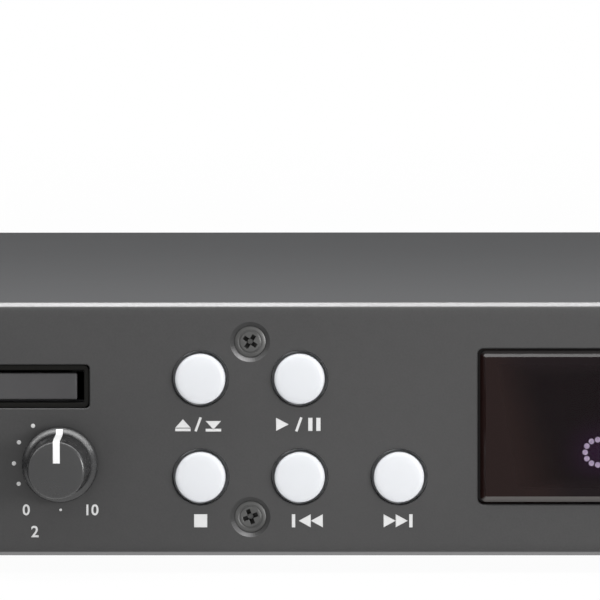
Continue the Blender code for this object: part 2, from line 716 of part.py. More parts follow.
def wall_posts():
    """Standoffs on the front wall for the two upright boards."""
    middle = -BUTTON_X
    lens_edge = WINDOW_WIDTH / 2 + LENS_FLANGE + GAP + STANDOFF_RADIUS + GAP
    beside = BUTTON_PITCH + BUTTON_FLANGE + STANDOFF_RADIUS + 2 * GAP
    return [(middle + BUTTON_PITCH, BUTTON_HIGH_Z), (middle - beside, (BUTTON_HIGH_Z + BUTTON_LOW_Z) / 2),
            (WINDOW_X - lens_edge, WINDOW_Z), (WINDOW_X + lens_edge, WINDOW_Z)]


def mic_board_edges():
    left = mic_places()["mic_jack_1"] - MIC_BOARD_MARGIN
    return left, KNOB_X + MIC_BOARD_MARGIN, WALL_BACK + GAP, WALL_BACK + MIC_BOARD_DEPTH


def main_board_edges():
    back = REAR_FACE - SHEET - GAP
    half = MAIN_BOARD_WIDTH / 2
    return MAIN_BOARD_X - half, MAIN_BOARD_X + half, back - MAIN_BOARD_DEPTH, back


def power_board_edges():
    half = POWER_BOARD_WIDTH / 2
    deep = POWER_BOARD_DEPTH / 2
    return (POWER_BOARD_X - half, POWER_BOARD_X + half, POWER_BOARD_Y - deep, POWER_BOARD_Y + deep)


def jack_places():
    start = JACK_X - JACK_PITCH * (JACK_COLUMNS - 1) / 2
    return [(start + JACK_PITCH * i, JACK_Z + JACK_PITCH * j)
            for i in range(JACK_COLUMNS) for j in range(JACK_ROWS)]


def rear_panel():
    holes = [circle(x, z, JACK_HOLE, 10) for x, z in jack_places()]
    holes.append(centred(INLET_X, INLET_Z, INLET_WIDTH, INLET_HEIGHT, GAP))
    outline = rectangle(-CHASSIS_HALF, BASE_TOP + GAP, CHASSIS_HALF, LID_UNDER - GAP)
    return prism("Y", outline, REAR_FACE - SHEET, REAR_FACE, holes)


def top_cover():
    """The folded lid and sides, with vents and the heads of its four side screws."""
    outer = BODY_WIDTH / 2
    inner = outer - SHEET
    bend = COVER_BEND
    quarter = math.pi / 2
    loop = [(-outer, BASE_LOW)]
    loop += arc(-outer + bend, LID_TOP - bend, bend, 2 * quarter, quarter, 4)
    loop += arc(outer - bend, LID_TOP - bend, bend, quarter, 0.0, 4)
    loop += [(outer, BASE_LOW), (inner, BASE_LOW)]
    small = bend - SHEET
    loop += arc(inner - small, LID_UNDER - small, small, 0.0, quarter, 2)
    loop += arc(-inner + small, LID_UNDER - small, small, quarter, 2 * quarter, 2)
    loop.append((-inner, BASE_LOW))
    shell = prism("Y", loop, WALL_FRONT, REAR_FACE)
    heads = []
    head_z = BASE_LOW + LIP_HEIGHT / 2
    for side in (-1, 1):
        for y in (WALL_FRONT + COVER_SCREW_INSET, REAR_FACE - COVER_SCREW_INSET):
            near, far = sorted((side * (outer - SINK), side * (outer + COVER_SCREW_HEIGHT)))
            heads.append(cylinder("X", y, head_z, COVER_SCREW_RADIUS, near, far, 10))
    shell = fuse(shell, *heads)
    cutters = []
    middle = (BASE_LOW + LIP_HEIGHT + LID_TOP) / 2
    half = (LID_TOP - BASE_LOW - LIP_HEIGHT) / 4
    for i in range(SIDE_VENTS):
        y = (i - (SIDE_VENTS - 1) / 2) * VENT_PITCH
        loop = stadium((y, middle - half), (y, middle + half), VENT_WIDTH / 2, 2)
        cutters.append(prism("X", loop, -outer - OVERRUN, -inner + OVERRUN))
        cutters.append(prism("X", loop, inner - OVERRUN, outer + OVERRUN))
    for i in range(TOP_VENTS):
        x = POWER_BOARD_X + (i - (TOP_VENTS - 1) / 2) * VENT_PITCH
        y = POWER_BOARD_Y + POWER_BOARD_DEPTH / 4
        loop = stadium((x, y - VENT_LENGTH / 2), (x, y + VENT_LENGTH / 2), VENT_WIDTH / 2, 2)
        cutters.append(prism("Z", loop, LID_UNDER - OVERRUN, LID_TOP + OVERRUN))
    return cut(shell, many(cutters))


def foot(x, y):
    profile = [(0.0, FOOT_HEIGHT), (FOOT_RADIUS, FOOT_HEIGHT), (FOOT_RADIUS - FOOT_TAPER, 0.0),
               (FOOT_HOLE_RADIUS, 0.0), (FOOT_HOLE_RADIUS, FOOT_HOLE_DEPTH), (0.0, FOOT_HOLE_DEPTH)]
    return turned("Z", (x, y, 0.0), profile, 16)


def panel_screw(x, z):
    head = PANEL_FRONT + SCREW_RECESS
    profile = [(0.0, head), (SCREW_HEAD, head), (SCREW_SHANK, head + SCREW_HEAD - SCREW_SHANK),
               (SCREW_SHANK, head + SCREW_LENGTH), (0.0, head + SCREW_LENGTH)]
    screw = turned("Y", (x, 0.0, z), profile, 12)
    arms = []
    for width, height in ((CROSS_LENGTH, CROSS_WIDTH), (CROSS_WIDTH, CROSS_LENGTH)):
        arms.append(prism("Y", centred(x, z, width, height), head - OVERRUN, head + CROSS_DEPTH))
    return cut(screw, *arms)


# Controls

def button(x, z):
    """Round cap, flange behind the panel and the stem that meets its switch."""
    face = PANEL_FRONT - BUTTON_PROUD
    flange = PANEL_BACK + GAP
    back = flange + BUTTON_FLANGE_THICK
    stem_end = BUTTON_BOARD_Y - SWITCH_DEPTH - PLUNGER_LENGTH - BUTTON_TRAVEL - GAP
    round_edge = [(BUTTON_RADIUS - BUTTON_EDGE + BUTTON_EDGE * math.sin(angle),
                   face + BUTTON_EDGE - BUTTON_EDGE * math.cos(angle))
                  for angle in (0.0, 45 * DEGREE, 90 * DEGREE)]
    profile = [(0.0, face), *round_edge, (BUTTON_RADIUS, flange), (BUTTON_FLANGE, flange),
               (BUTTON_FLANGE, back), (BUTTON_STEM, back), (BUTTON_STEM, stem_end), (0.0, stem_end)]
    return turned("Y", (x, 0.0, z), profile, 18)


def button_board():
    places = list(button_places().values())
    left = -BUTTON_X - BUTTON_PITCH - BUTTON_BOARD_MARGIN
    right = -BUTTON_X + BUTTON_PITCH + BUTTON_BOARD_EDGE
    low = BUTTON_LOW_Z - BUTTON_BOARD_EDGE
    high = BUTTON_HIGH_Z + BUTTON_BOARD_EDGE
    board = block(left, right, BUTTON_BOARD_Y, BUTTON_BOARD_Y + BOARD_THICKNESS, low, high)
    front = BUTTON_BOARD_Y - SWITCH_DEPTH
    parts = []
    for x, z in places:
        parts.append(prism("Y", centred(x, z, SWITCH_SIZE, SWITCH_SIZE), front, BUTTON_BOARD_Y + SINK))
        parts.append(cylinder("Y", x, z, PLUNGER_RADIUS, front - PLUNGER_LENGTH, front + SINK, 10))
    return fuse(board, *parts)


def knob(x):
    """Skirted knob with its shaft pressed in and a groove for the pointer."""
    back = PANEL_FRONT - KNOB_STAND
    face = PANEL_FRONT - KNOB_REACH
    shaft_end = PANEL_FRONT + SHAFT_DEPTH
    slope = (KNOB_RADIUS - KNOB_FACE_RADIUS) / 2
    profile = [(0.0, face), (KNOB_FACE_RADIUS - KNOB_EDGE, face), (KNOB_FACE_RADIUS, face + KNOB_EDGE),
               (KNOB_FACE_RADIUS + slope, back - KNOB_SKIRT), (KNOB_RADIUS, back - KNOB_SKIRT),
               (KNOB_RADIUS, back), (SHAFT_RADIUS, back), (SHAFT_RADIUS, shaft_end), (0.0, shaft_end)]
    shape = turned("Y", (x, 0.0, CONTROL_Z), profile, 20)
    half = POINTER_WIDTH / 2
    outline = rectangle(x - half, CONTROL_Z, x + half, CONTROL_Z + KNOB_RADIUS)
    return cut(shape, prism("Y", outline, face - OVERRUN, face + POINTER_DEPTH))


def potentiometer(x):
    body = WALL_BACK + GAP
    low = BOARD_TOP + GAP
    half = POT_WIDTH / 2
    case = block(x - half, x + half, body, body + POT_DEPTH, low, CONTROL_Z + POT_TOP)
    bushing = cylinder("Y", x, CONTROL_Z, BUSHING_RADIUS, PANEL_BACK - PANEL_THICKNESS / 2, body + SINK, 16)
    case = fuse(case, bushing)
    bore_end = PANEL_FRONT + SHAFT_DEPTH + GAP
    return cut(case, cylinder("Y", x, CONTROL_Z, BUSHING_BORE, PANEL_FRONT - OVERRUN, bore_end, 12))


def mic_jack(x):
    body = WALL_BACK + GAP
    half = MIC_BODY_WIDTH / 2
    case = block(x - half, x + half, body, body + MIC_BODY_DEPTH, BOARD_TOP + GAP,
                 CONTROL_Z + MIC_BODY_TOP)
    front = PANEL_FRONT - MIC_PROUD
    case = fuse(case, cylinder("Y", x, CONTROL_Z, MIC_BUSHING, front, body + SINK, 16))
    return cut(case, cylinder("Y", x, CONTROL_Z, MIC_BORE, front - OVERRUN, front + MIC_BORE_DEPTH, 16))


def mic_nut(x):
    hexagon = circle(x, CONTROL_Z, NUT_FLATS / 2 / math.cos(30 * DEGREE), 6)
    hole = circle(x, CONTROL_Z, MIC_HOLE, 16)
    return prism("Y", hexagon, PANEL_FRONT - GAP - NUT_THICKNESS, PANEL_FRONT - GAP, [hole])


def mic_board():
    left, right, front, back = mic_board_edges()
    board = block(left, right, front, back, BOARD_LOW, BOARD_TOP)
    middle = (left + right) / 2
    chip = block(middle + SWITCH_SIZE, middle + SWITCH_SIZE * 2, back - SWITCH_SIZE, back - SWITCH_SIZE / 2,
                 BOARD_TOP - SINK, BOARD_TOP + CHIP_HEIGHT)
    return fuse(board, chip)


def display_lens():
    front = PANEL_FRONT - LENS_PROUD
    flange = PANEL_BACK + GAP
    inset = -GAP - LENS_CHAMFER
    wall = [(window_outline(inset), front), (window_outline(-GAP), front + LENS_CHAMFER),
            (window_outline(-GAP), flange), (window_outline(LENS_FLANGE), flange),
            (window_outline(LENS_FLANGE), flange + SHEET)]
    return lofted("Y", [wall])


def display_tube():
    back = BUTTON_BOARD_Y - GAP
    return prism("Y", centred(WINDOW_X, WINDOW_Z, TUBE_WIDTH, TUBE_HEIGHT), back - TUBE_DEPTH, back)


def display_board():
    outline = centred(WINDOW_X, WINDOW_Z, WINDOW_WIDTH, WINDOW_HEIGHT, DISPLAY_BOARD_MARGIN)
    back = BUTTON_BOARD_Y + BOARD_THICKNESS
    board = prism("Y", outline, BUTTON_BOARD_Y, back)
    plug = prism("Y", centred(WINDOW_X, WINDOW_Z, CHIP_WIDTH, SWITCH_SIZE), back - SINK,
                 back + SWITCH_SIZE)
    return fuse(board, plug)


def power_switch():
    """Bezel on the panel, body through it and the well that holds the rocker."""
    front = PANEL_FRONT - BEZEL_THICKNESS
    seat = PANEL_FRONT - GAP
    body = centred(ROCKER_X, PANEL_MID, SWITCH_WIDTH, SWITCH_HEIGHT)
    bezel = centred(ROCKER_X, PANEL_MID, BEZEL_WIDTH, BEZEL_HEIGHT)
    shape = lofted("Y", [[(bezel, front), (bezel, seat), (body, seat), (body, seat + SWITCH_BODY_DEPTH)]])
    well = centred(ROCKER_X, PANEL_MID, ROCKER_WIDTH, 2 * rocker_reach(), GAP)
    return cut(shape, prism("Y", well, front - OVERRUN, front + ROCKER_WELL_DEPTH))


def rocker_reach():
    return math.hypot(ROCKER_HALF, ROCKER_TIP)


def rocker_pivot():
    return ROCKER_X, PANEL_FRONT, PANEL_MID


def power_rocker():
    """Two faces that meet in a shallow valley over the pivot, tilted to the off side."""
    points = [(ROCKER_TIP, -ROCKER_HALF), (ROCKER_WAIST, 0.0), (ROCKER_TIP, ROCKER_HALF)]
    points += [(ROCKER_WAIST - ROCKER_BELLY / 2, ROCKER_HALF), (-ROCKER_BELLY, ROCKER_HALF / 2),
               (-ROCKER_BELLY, -ROCKER_HALF / 2), (ROCKER_WAIST - ROCKER_BELLY / 2, -ROCKER_HALF)]
    cosine = math.cos(ROCKER_TILT)
    sine = math.sin(ROCKER_TILT)
    loop = [(PANEL_FRONT - out * cosine - up * sine, PANEL_MID + up * cosine - out * sine)
            for out, up in points]
    half = ROCKER_WIDTH / 2
    return prism("X", loop, ROCKER_X - half, ROCKER_X + half)


def usb_port():
    front = PANEL_FRONT
    shell = prism("Y", centred(USB_X, PANEL_MID, USB_WIDTH, USB_HEIGHT), front, front + USB_DEPTH)
    post = STANDOFF_RADIUS
    back = WALL_BACK + GAP
    lug_top = PANEL_MID - USB_HEIGHT / 2 + SINK
    lug = block(USB_X - post, USB_X + post, back, back + USB_BRACKET, BASE_TOP + GAP, lug_top)
    shell = fuse(shell, lug)
    well = prism("Y", centred(USB_X, PANEL_MID, USB_WIDTH, USB_HEIGHT, -USB_WALL), front - OVERRUN,
                 front + USB_DEPTH - USB_WALL * 2)
    shell = cut(shell, well)
    tongue_top = PANEL_MID + USB_HEIGHT / 2 - USB_WALL * 2
    tongue = block(USB_X - USB_WIDTH / 2 + USB_WALL * 2, USB_X + USB_WIDTH / 2 - USB_WALL * 2,
                   front + USB_WALL * 2, front + USB_DEPTH - USB_WALL, tongue_top - USB_TONGUE, tongue_top)
    return fuse(shell, tongue)


# Loader

def disc_tray():
    half = TRAY_WIDTH / 2
    body_front = TRAY_FRONT + TRAY_LIP_THICK
    teeth = rack_teeth(DRIVE_Y - DRIVE_MODULE * math.pi, TRAY_BACK, DRIVE_MODULE, DRIVE_Y)
    opening = TRAY_OPENING / 2
    loop = [(HUB_X - half, body_front - SINK), (HUB_X + half, body_front - SINK), (HUB_X + half, TRAY_BACK),
            (HUB_X + opening, TRAY_BACK)]
    loop += arc(HUB_X, HUB_Y, opening, 0.0, -math.pi, 12)
    loop += [(HUB_X - opening, TRAY_BACK), (HUB_X - half, TRAY_BACK)]
    loop += [(RACK_PITCH_X - reach, y) for reach, y in reversed(teeth)]
    tray = prism("Z", loop, TRAY_LOW, TRAY_TOP)
    lip_half = TRAY_LIP_WIDTH / 2
    lip = block(HUB_X - lip_half, HUB_X + lip_half, TRAY_FRONT, body_front, TRAY_LOW,
                TRAY_LOW + TRAY_LIP_HEIGHT)
    tray = fuse(tray, lip)
    top = TRAY_TOP + OVERRUN
    large = cylinder("Z", HUB_X, HUB_Y, DISC_RADIUS, TRAY_FLOOR_TOP, top, 40)
    small = cylinder("Z", HUB_X, HUB_Y, SMALL_DISC_RADIUS, TRAY_FLOOR_TOP - SMALL_DISC_DEPTH, top, 28)
    return cut(tray, large, small)


def loader_frame():
    """Floor with side rails, hold-down tabs, pivot ears, posts and the drive's axle pins."""
    left = HUB_X - RAIL_OUTER
    right = HUB_X + RAIL_OUTER
    front = WALL_BACK + GAP
    shelf = left - PLATFORM_REACH
    shelf_front = DRIVE_Y - PLATFORM_FRONT
    shelf_back = DRIVE_Y + PLATFORM_BACK
    loop = [(left, front), (right, front), (right, FRAME_BACK), (left, FRAME_BACK), (left, shelf_back),
            (shelf, shelf_back), (shelf, shelf_front), (left, shelf_front)]
    bay = rectangle(HUB_X - BAY_HALF_WIDTH, HUB_Y - BAY_FRONT, HUB_X + BAY_HALF_WIDTH, HUB_Y + BAY_BACK)
    shaft_hole = circle(MOTOR_X, MOTOR_Y, MOTOR_PULLEY_FLANGE, 16)
    frame = prism("Z", loop, FRAME_LOW, FRAME_TOP, [bay, shaft_hole])
    low = FRAME_TOP - SINK
    gear_room = DRIVE_RADIUS + DRIVE_MODULE + GAP * 2
    parts = [block(right - FRAME_WALL, right, front, FRAME_BACK, low, RAIL_TOP),
             block(left, left + FRAME_WALL, front, DRIVE_Y - gear_room, low, RAIL_TOP),
             block(left, left + FRAME_WALL, DRIVE_Y + gear_room, FRAME_BACK, low, RAIL_TOP)]
    tab_low = TRAY_TOP + GAP
    for y in (HUB_Y - DISC_RADIUS + TAB_LENGTH / 2, HUB_Y + DISC_RADIUS):
        parts.append(block(HUB_X + RAIL_INNER - TAB_REACH, HUB_X + RAIL_INNER + SINK, y, y + TAB_LENGTH,
                           tab_low, tab_low + TAB_THICK))
        parts.append(block(HUB_X - RAIL_INNER - SINK, HUB_X - RAIL_INNER + TAB_REACH, y, y + TAB_LENGTH,
                           tab_low, tab_low + TAB_THICK))
    for side in (-1, 1):
        x = HUB_X + side * (RAIL_OUTER - FRAME_POST_INSET)
        for y in (HUB_Y - BAY_FRONT, HUB_Y + FRAME_POST_BACK):
            parts.append(cylinder("Z", x, y, FRAME_POST_RADIUS, BASE_TOP + GAP, FRAME_LOW + SINK, 10))
        near, far = sorted((HUB_X + side * BAY_HALF_WIDTH, HUB_X + side * (BAY_HALF_WIDTH + EAR_THICK)))
        ear = block(near, far, PIVOT_Y - EAR_WIDTH / 2, PIVOT_Y + EAR_WIDTH / 2,
                    PIVOT_Z - EAR_WIDTH / 2, FRAME_LOW + SINK)
        parts.append(cut(ear, cylinder("X", PIVOT_Y, PIVOT_Z, PIVOT_BORE, near - OVERRUN, far + OVERRUN, 10)))
    rail_y = slider_y()
    for front_y in (rail_y - GAP - FRAME_WALL, rail_y + SLIDER_THICK + GAP):
        parts.append(block(HUB_X - BAY_HALF_WIDTH, HUB_X + BAY_HALF_WIDTH / 2, front_y, front_y + FRAME_WALL,
                           FRAME_LOW - SLIDER_RAIL, FRAME_LOW + SINK))
    parts.append(cylinder("Z", DRIVE_X, DRIVE_Y, PIVOT_RADIUS, low, GEAR_TOP, 10))
    parts.append(cylinder("Z", PULLEY_X, PULLEY_Y, PIVOT_RADIUS, low, PULLEY_TOP, 10))
    return fuse(frame, *parts)


def drive_gear():
    """A tooth points along +X into the rack's gap."""
    outline = gear_outline(DRIVE_X, DRIVE_Y, DRIVE_TEETH, DRIVE_MODULE, 0.0)
    return prism("Z", outline, GEAR_LOW, GEAR_TOP, [circle(DRIVE_X, DRIVE_Y, PIVOT_BORE, 12)])


def pulley_gear():
    """Pinion under a grooved belt pulley, turned so that its teeth meet the drive gear's gaps."""
    to_pulley = math.pi - PULLEY_SWING
    offset = to_pulley % (math.tau / DRIVE_TEETH)
    turn = to_pulley + math.pi + offset * DRIVE_TEETH / PINION_TEETH + math.pi / PINION_TEETH
    outline = gear_outline(PULLEY_X, PULLEY_Y, PINION_TEETH, DRIVE_MODULE, turn)
    pinion = prism("Z", outline, GEAR_LOW, PULLEY_LOW + SINK)
    wheel = turned("Z", (PULLEY_X, PULLEY_Y, 0.0), groove_profile(PULLEY_RADIUS, PULLEY_FLANGE, 0.0), 20)
    shape = fuse(pinion, wheel)
    return cut(shape, cylinder("Z", PULLEY_X, PULLEY_Y, PIVOT_BORE, GEAR_LOW - OVERRUN,
                               PULLEY_TOP + OVERRUN, 12))


def groove_profile(radius, flange, hub_radius):
    """Belt pulley with a square groove; radius is the groove's floor."""
    groove = BELT_SIZE / 2 + GAP
    middle = (PULLEY_LOW + PULLEY_TOP) / 2
    profile = [(hub_radius, PULLEY_LOW), (flange, PULLEY_LOW), (flange, middle - groove),
               (radius, middle - groove), (radius, middle + groove), (flange, middle + groove),
               (flange, PULLEY_TOP), (hub_radius, PULLEY_TOP)]
    return profile


def motor_pulley():
    profile = groove_profile(MOTOR_PULLEY_RADIUS, MOTOR_PULLEY_FLANGE, MOTOR_SHAFT + GAP)
    return turned("Z", (MOTOR_X, MOTOR_Y, 0.0), profile, 14)


def drive_belt():
    """Square belt around the two pulleys, one closed loop."""
    middle = (PULLEY_LOW + PULLEY_TOP) / 2
    run = math.hypot(MOTOR_X - PULLEY_X, MOTOR_Y - PULLEY_Y)
    heading = math.atan2(MOTOR_Y - PULLEY_Y, MOTOR_X - PULLEY_X)
    wrap = math.acos((PULLEY_RADIUS - MOTOR_PULLEY_RADIUS) / run)

    def loop(extra):
        large = PULLEY_RADIUS + GAP + extra
        small = MOTOR_PULLEY_RADIUS + GAP + extra
        points = arc(PULLEY_X, PULLEY_Y, large, heading + wrap, heading + math.tau - wrap, 14)
        return points + arc(MOTOR_X, MOTOR_Y, small, heading - wrap, heading + wrap, 6)

    half = BELT_SIZE / 2
    return prism("Z", loop(BELT_SIZE), middle - half, middle + half, [loop(0.0)])


def loading_motor():
    top = FRAME_LOW - GAP
    shaft_top = PULLEY_TOP + GAP
    profile = [(0.0, top - LOADING_MOTOR_LENGTH), (LOADING_MOTOR_RADIUS, top - LOADING_MOTOR_LENGTH),
               (LOADING_MOTOR_RADIUS, top), (MOTOR_SHAFT, top), (MOTOR_SHAFT, shaft_top), (0.0, shaft_top)]
    return turned("Z", (MOTOR_X, MOTOR_Y, 0.0), profile, 16)


# Traverse and optics

def slider_y():
    return HUB_Y - TRAVERSE_FRONT - SLIDER_CLEAR - SLIDER_THICK


def pin_place():
    return HUB_X + SLIDER_PIN_X, TRAVERSE_Z + TRAVERSE_RIM / 2


def cam_drop():
    """Fall of the traverse pin over the slider's travel."""
    return (PIVOT_Y - slider_y()) * math.sin(TRAVERSE_TILT)


def traverse():
    left = HUB_X - TRAVERSE_HALF
    right = HUB_X + TRAVERSE_HALF
    front = HUB_Y - TRAVERSE_FRONT
    back = PIVOT_Y + PIVOT_RADIUS
    window_half = SLED_HALF_WIDTH - SHEET
    window = rectangle(HUB_X - window_half, SLED_FRONT + SHEET, HUB_X + window_half,
                       SLED_FRONT + SLED_LENGTH + SLED_TRAVEL - SHEET)
    motor_hole = circle(SLED_GEAR_X, SLED_GEAR_Y, SHEET + GAP, 12)
    plate = prism("Z", rectangle(left, front, right, back), TRAVERSE_Z, TRAVERSE_TOP, [window, motor_hole])
    rim_top = TRAVERSE_Z + TRAVERSE_RIM
    wall = TRAVERSE_THICK
    parts = [block(left, left + wall, front, back, TRAVERSE_Z, rim_top),
             block(right - wall, right, front, back, TRAVERSE_Z, rim_top),
             block(left, right, front, front + wall, TRAVERSE_Z, rim_top)]
    for side in (-1, 1):
        near, far = sorted((HUB_X + side * (TRAVERSE_HALF - SINK),
                            HUB_X + side * (BAY_HALF_WIDTH + EAR_THICK)))
        parts.append(cylinder("X", PIVOT_Y, PIVOT_Z, PIVOT_RADIUS, near, far, 10))
    pin_x, pin_z = pin_place()
    parts.append(cylinder("Y", pin_x, pin_z, PIVOT_RADIUS, slider_y() - SHEET, front + SINK, 10))
    for x in (HUB_X - ROD_X, HUB_X + ROD_X):
        for y in rod_lugs():
            lug = block(x - 2 * ROD_RADIUS, x + 2 * ROD_RADIUS, y, y + wall, TRAVERSE_TOP - SINK,
                        ROD_Z + ROD_RADIUS + SHEET)
            bore = cylinder("Y", x, ROD_Z, ROD_BORE, y - OVERRUN, y + wall + OVERRUN, 8)
            parts.append(cut(lug, bore))
    return fuse(plate, *parts)


def rod_lugs():
    """Front faces of the lugs that hold the guide rods."""
    return (SLED_FRONT - GAP - TRAVERSE_THICK, SLED_FRONT + SLED_LENGTH + SLED_TRAVEL + GAP)


def guide_rod(x):
    near, far = rod_lugs()
    return cylinder("Y", x, ROD_Z, ROD_RADIUS, near, far + TRAVERSE_THICK + SHEET, 10)


def spindle_motor():
    low = TRAVERSE_TOP + GAP
    stator = cylinder("Z", HUB_X, HUB_Y, SPINDLE_RADIUS, low, low + SPINDLE_HEIGHT, 24)
    bore = cylinder("Z", HUB_X, HUB_Y, HUB_SHAFT + GAP, low + SHEET, low + SPINDLE_HEIGHT + OVERRUN, 12)
    return cut(stator, bore)


def turntable():
    shaft_low = TRAVERSE_TOP + SHEET + 2 * GAP
    cone_top = TABLE_TOP + HUB_CONE_HEIGHT
    profile = [(0.0, shaft_low), (HUB_SHAFT, shaft_low), (HUB_SHAFT, TABLE_LOW), (HUB_TABLE_RADIUS, TABLE_LOW),
               (HUB_TABLE_RADIUS, TABLE_TOP), (HUB_CONE_RADIUS, TABLE_TOP),
               (HUB_CONE_RADIUS - HUB_CONE_HEIGHT / 2, cone_top), (0.0, cone_top)]
    return turned("Z", (HUB_X, HUB_Y, 0.0), profile, 24)


def pickup_sled():
    """Body on the two rods, with the lens mount above and a toothed rack at its side."""
    back = SLED_FRONT + SLED_LENGTH
    body = block(HUB_X - SLED_HALF_WIDTH, HUB_X + SLED_HALF_WIDTH, SLED_FRONT, back, SLED_LOW, SLED_TOP)
    lens_y = SLED_FRONT + SLED_LENGTH / 2
    mount = turned("Z", (HUB_X, lens_y, 0.0), [
        (0.0, SLED_TOP - SINK), (LENS_MOUNT_RADIUS, SLED_TOP - SINK),
        (LENS_MOUNT_RADIUS, SLED_TOP + LENS_MOUNT_HEIGHT), (LENS_RADIUS, SLED_TOP + LENS_MOUNT_HEIGHT),
        (LENS_RADIUS / 2, SLED_TOP + LENS_MOUNT_HEIGHT - GAP), (0.0, SLED_TOP + LENS_MOUNT_HEIGHT - GAP)], 12)
    low = SLED_LOW + SHEET
    rack_x = HUB_X + SLED_RACK_X
    teeth = rack_teeth(SLED_FRONT, SLED_GEAR_Y + SLED_MODULE * math.pi, SLED_MODULE, SLED_GEAR_Y)
    inner = HUB_X + SLED_HALF_WIDTH - SINK
    loop = [(rack_x + reach, y) for reach, y in teeth]
    loop += [(inner, teeth[-1][1]), (inner, teeth[0][1])]
    rack = prism("Z", loop, low, low + RACK_THICK)
    body = fuse(body, mount, rack)
    bores = [cylinder("Y", x, ROD_Z, ROD_BORE, SLED_FRONT - OVERRUN, back + OVERRUN, 8)
             for x in (HUB_X - ROD_X, HUB_X + ROD_X)]
    return cut(body, many(bores))


def sled_gear():
    low = SLED_LOW + SHEET
    outline = gear_outline(SLED_GEAR_X, SLED_GEAR_Y, SLED_TEETH, SLED_MODULE, math.pi)
    bore = circle(SLED_GEAR_X, SLED_GEAR_Y, SHEET, 12)
    return prism("Z", outline, low, low + RACK_THICK, [bore])


def sled_motor():
    top = TRAVERSE_Z - GAP
    low = top - SLED_MOTOR_LENGTH
    shaft_top = SLED_LOW + SHEET + RACK_THICK
    shaft = SHEET - GAP
    profile = [(0.0, low), (SLED_MOTOR_RADIUS, low), (SLED_MOTOR_RADIUS, top), (shaft, top),
               (shaft, shaft_top), (0.0, shaft_top)]
    return turned("Z", (SLED_GEAR_X, SLED_GEAR_Y, 0.0), profile, 14)


def cam_slider():
    """Upright plate whose slanted slot lowers the traverse pin as it slides to the right."""
    pin_x, pin_z = pin_place()
    front = slider_y()
    post_face = RAIL_OUTER - FRAME_POST_INSET - FRAME_POST_RADIUS
    left = HUB_X - post_face + SLIDER_END_CLEAR
    top = FRAME_LOW - GAP
    plate_loop = rectangle(left, top - SLIDER_HEIGHT, left + SLIDER_LENGTH, top)
    radius = PIVOT_RADIUS + SLIDER_SLOT_CLEAR
    slot = stadium((pin_x - SLIDER_TRAVEL, pin_z - cam_drop()), (pin_x, pin_z), radius, 8)
    return prism("Y", plate_loop, front, front + SLIDER_THICK, [slot])


def clamp_bridge():
    """Plate across the rails that holds the clamp puck over the hub."""
    half = BRIDGE_WIDTH / 2
    loop = rounded(HUB_X - RAIL_OUTER, HUB_Y - half, HUB_X + RAIL_OUTER, HUB_Y + half, half / 4)
    return prism("Z", loop, BRIDGE_LOW, BRIDGE_TOP, [circle(HUB_X, HUB_Y, BRIDGE_HOLE, 24)])


def clamp_puck():
    cap = BRIDGE_TOP + GAP
    well = PUCK_LOW + PUCK_WELL_DEPTH
    profile = [(0.0, well), (PUCK_WELL_RADIUS, well), (PUCK_WELL_RADIUS, PUCK_LOW), (PUCK_RADIUS, PUCK_LOW),
               (PUCK_RADIUS, PUCK_LOW + PUCK_PLATE), (PUCK_NECK, PUCK_LOW + PUCK_PLATE), (PUCK_NECK, cap),
               (PUCK_RADIUS, cap), (PUCK_RADIUS, cap + PUCK_CAP), (0.0, cap + PUCK_CAP)]
    return turned("Z", (HUB_X, HUB_Y, 0.0), profile, 20)


# Electronics

def main_board():
    left, right, front, back = main_board_edges()
    board = block(left, right, front, back, BOARD_LOW, BOARD_TOP)
    low = BOARD_TOP - SINK
    middle = (left + right) / 2
    half = CHIP_WIDTH / 2
    parts = []
    for x in (middle + CHIP_WIDTH, middle + CHIP_WIDTH * 3):
        parts.append(block(x - half, x + half, front + half / 2, front + half * 2.5, low,
                           BOARD_TOP + CHIP_HEIGHT))
    for i in range(3):
        x = middle + CHIP_WIDTH * i
        parts.append(cylinder("Z", x, back - SMALL_CAPACITOR_RADIUS * 2, SMALL_CAPACITOR_RADIUS, low,
                              BOARD_TOP + SMALL_CAPACITOR_HEIGHT, 10))
    return fuse(board, *parts)


def power_board():
    left, right, front, back = power_board_edges()
    board = block(left, right, front, back, BOARD_LOW, BOARD_TOP)
    low = BOARD_TOP - SINK
    parts = []
    for i in (1, 2):
        parts.append(cylinder("Z", left + CAPACITOR_RADIUS * 3 * i, back - CAPACITOR_RADIUS * 2,
                              CAPACITOR_RADIUS, low, BOARD_TOP + CAPACITOR_HEIGHT, 14))
    for y in (front + SINK_DEPTH, front + SINK_DEPTH * 4):
        parts.append(block(left + SINK_DEPTH, left + SINK_DEPTH + SINK_WIDTH, y, y + SINK_DEPTH, low,
                           BOARD_TOP + SINK_HEIGHT))
    for i in range(3):
        parts.append(cylinder("Z", right - SMALL_CAPACITOR_RADIUS * 3 * (i + 1), front + CAPACITOR_RADIUS,
                              SMALL_CAPACITOR_RADIUS, low, BOARD_TOP + SMALL_CAPACITOR_HEIGHT, 10))
    return fuse(board, *parts)


def transformer():
    """Ferrite core with its winding standing out on both sides."""
    low = BOARD_TOP + GAP
    core = block(POWER_BOARD_X - TRANSFORMER_WIDTH / 2, POWER_BOARD_X + TRANSFORMER_WIDTH / 2,
                 POWER_BOARD_Y - TRANSFORMER_DEPTH / 2, POWER_BOARD_Y + TRANSFORMER_DEPTH / 2,
                 low, low + TRANSFORMER_HEIGHT)
    reach = TRANSFORMER_DEPTH / 2 + COIL_OVERHANG
    coil = block(POWER_BOARD_X - COIL_WIDTH / 2, POWER_BOARD_X + COIL_WIDTH / 2, POWER_BOARD_Y - reach,
                 POWER_BOARD_Y + reach, low + COIL_OVERHANG, low + TRANSFORMER_HEIGHT - COIL_OVERHANG)
    return fuse(core, coil)


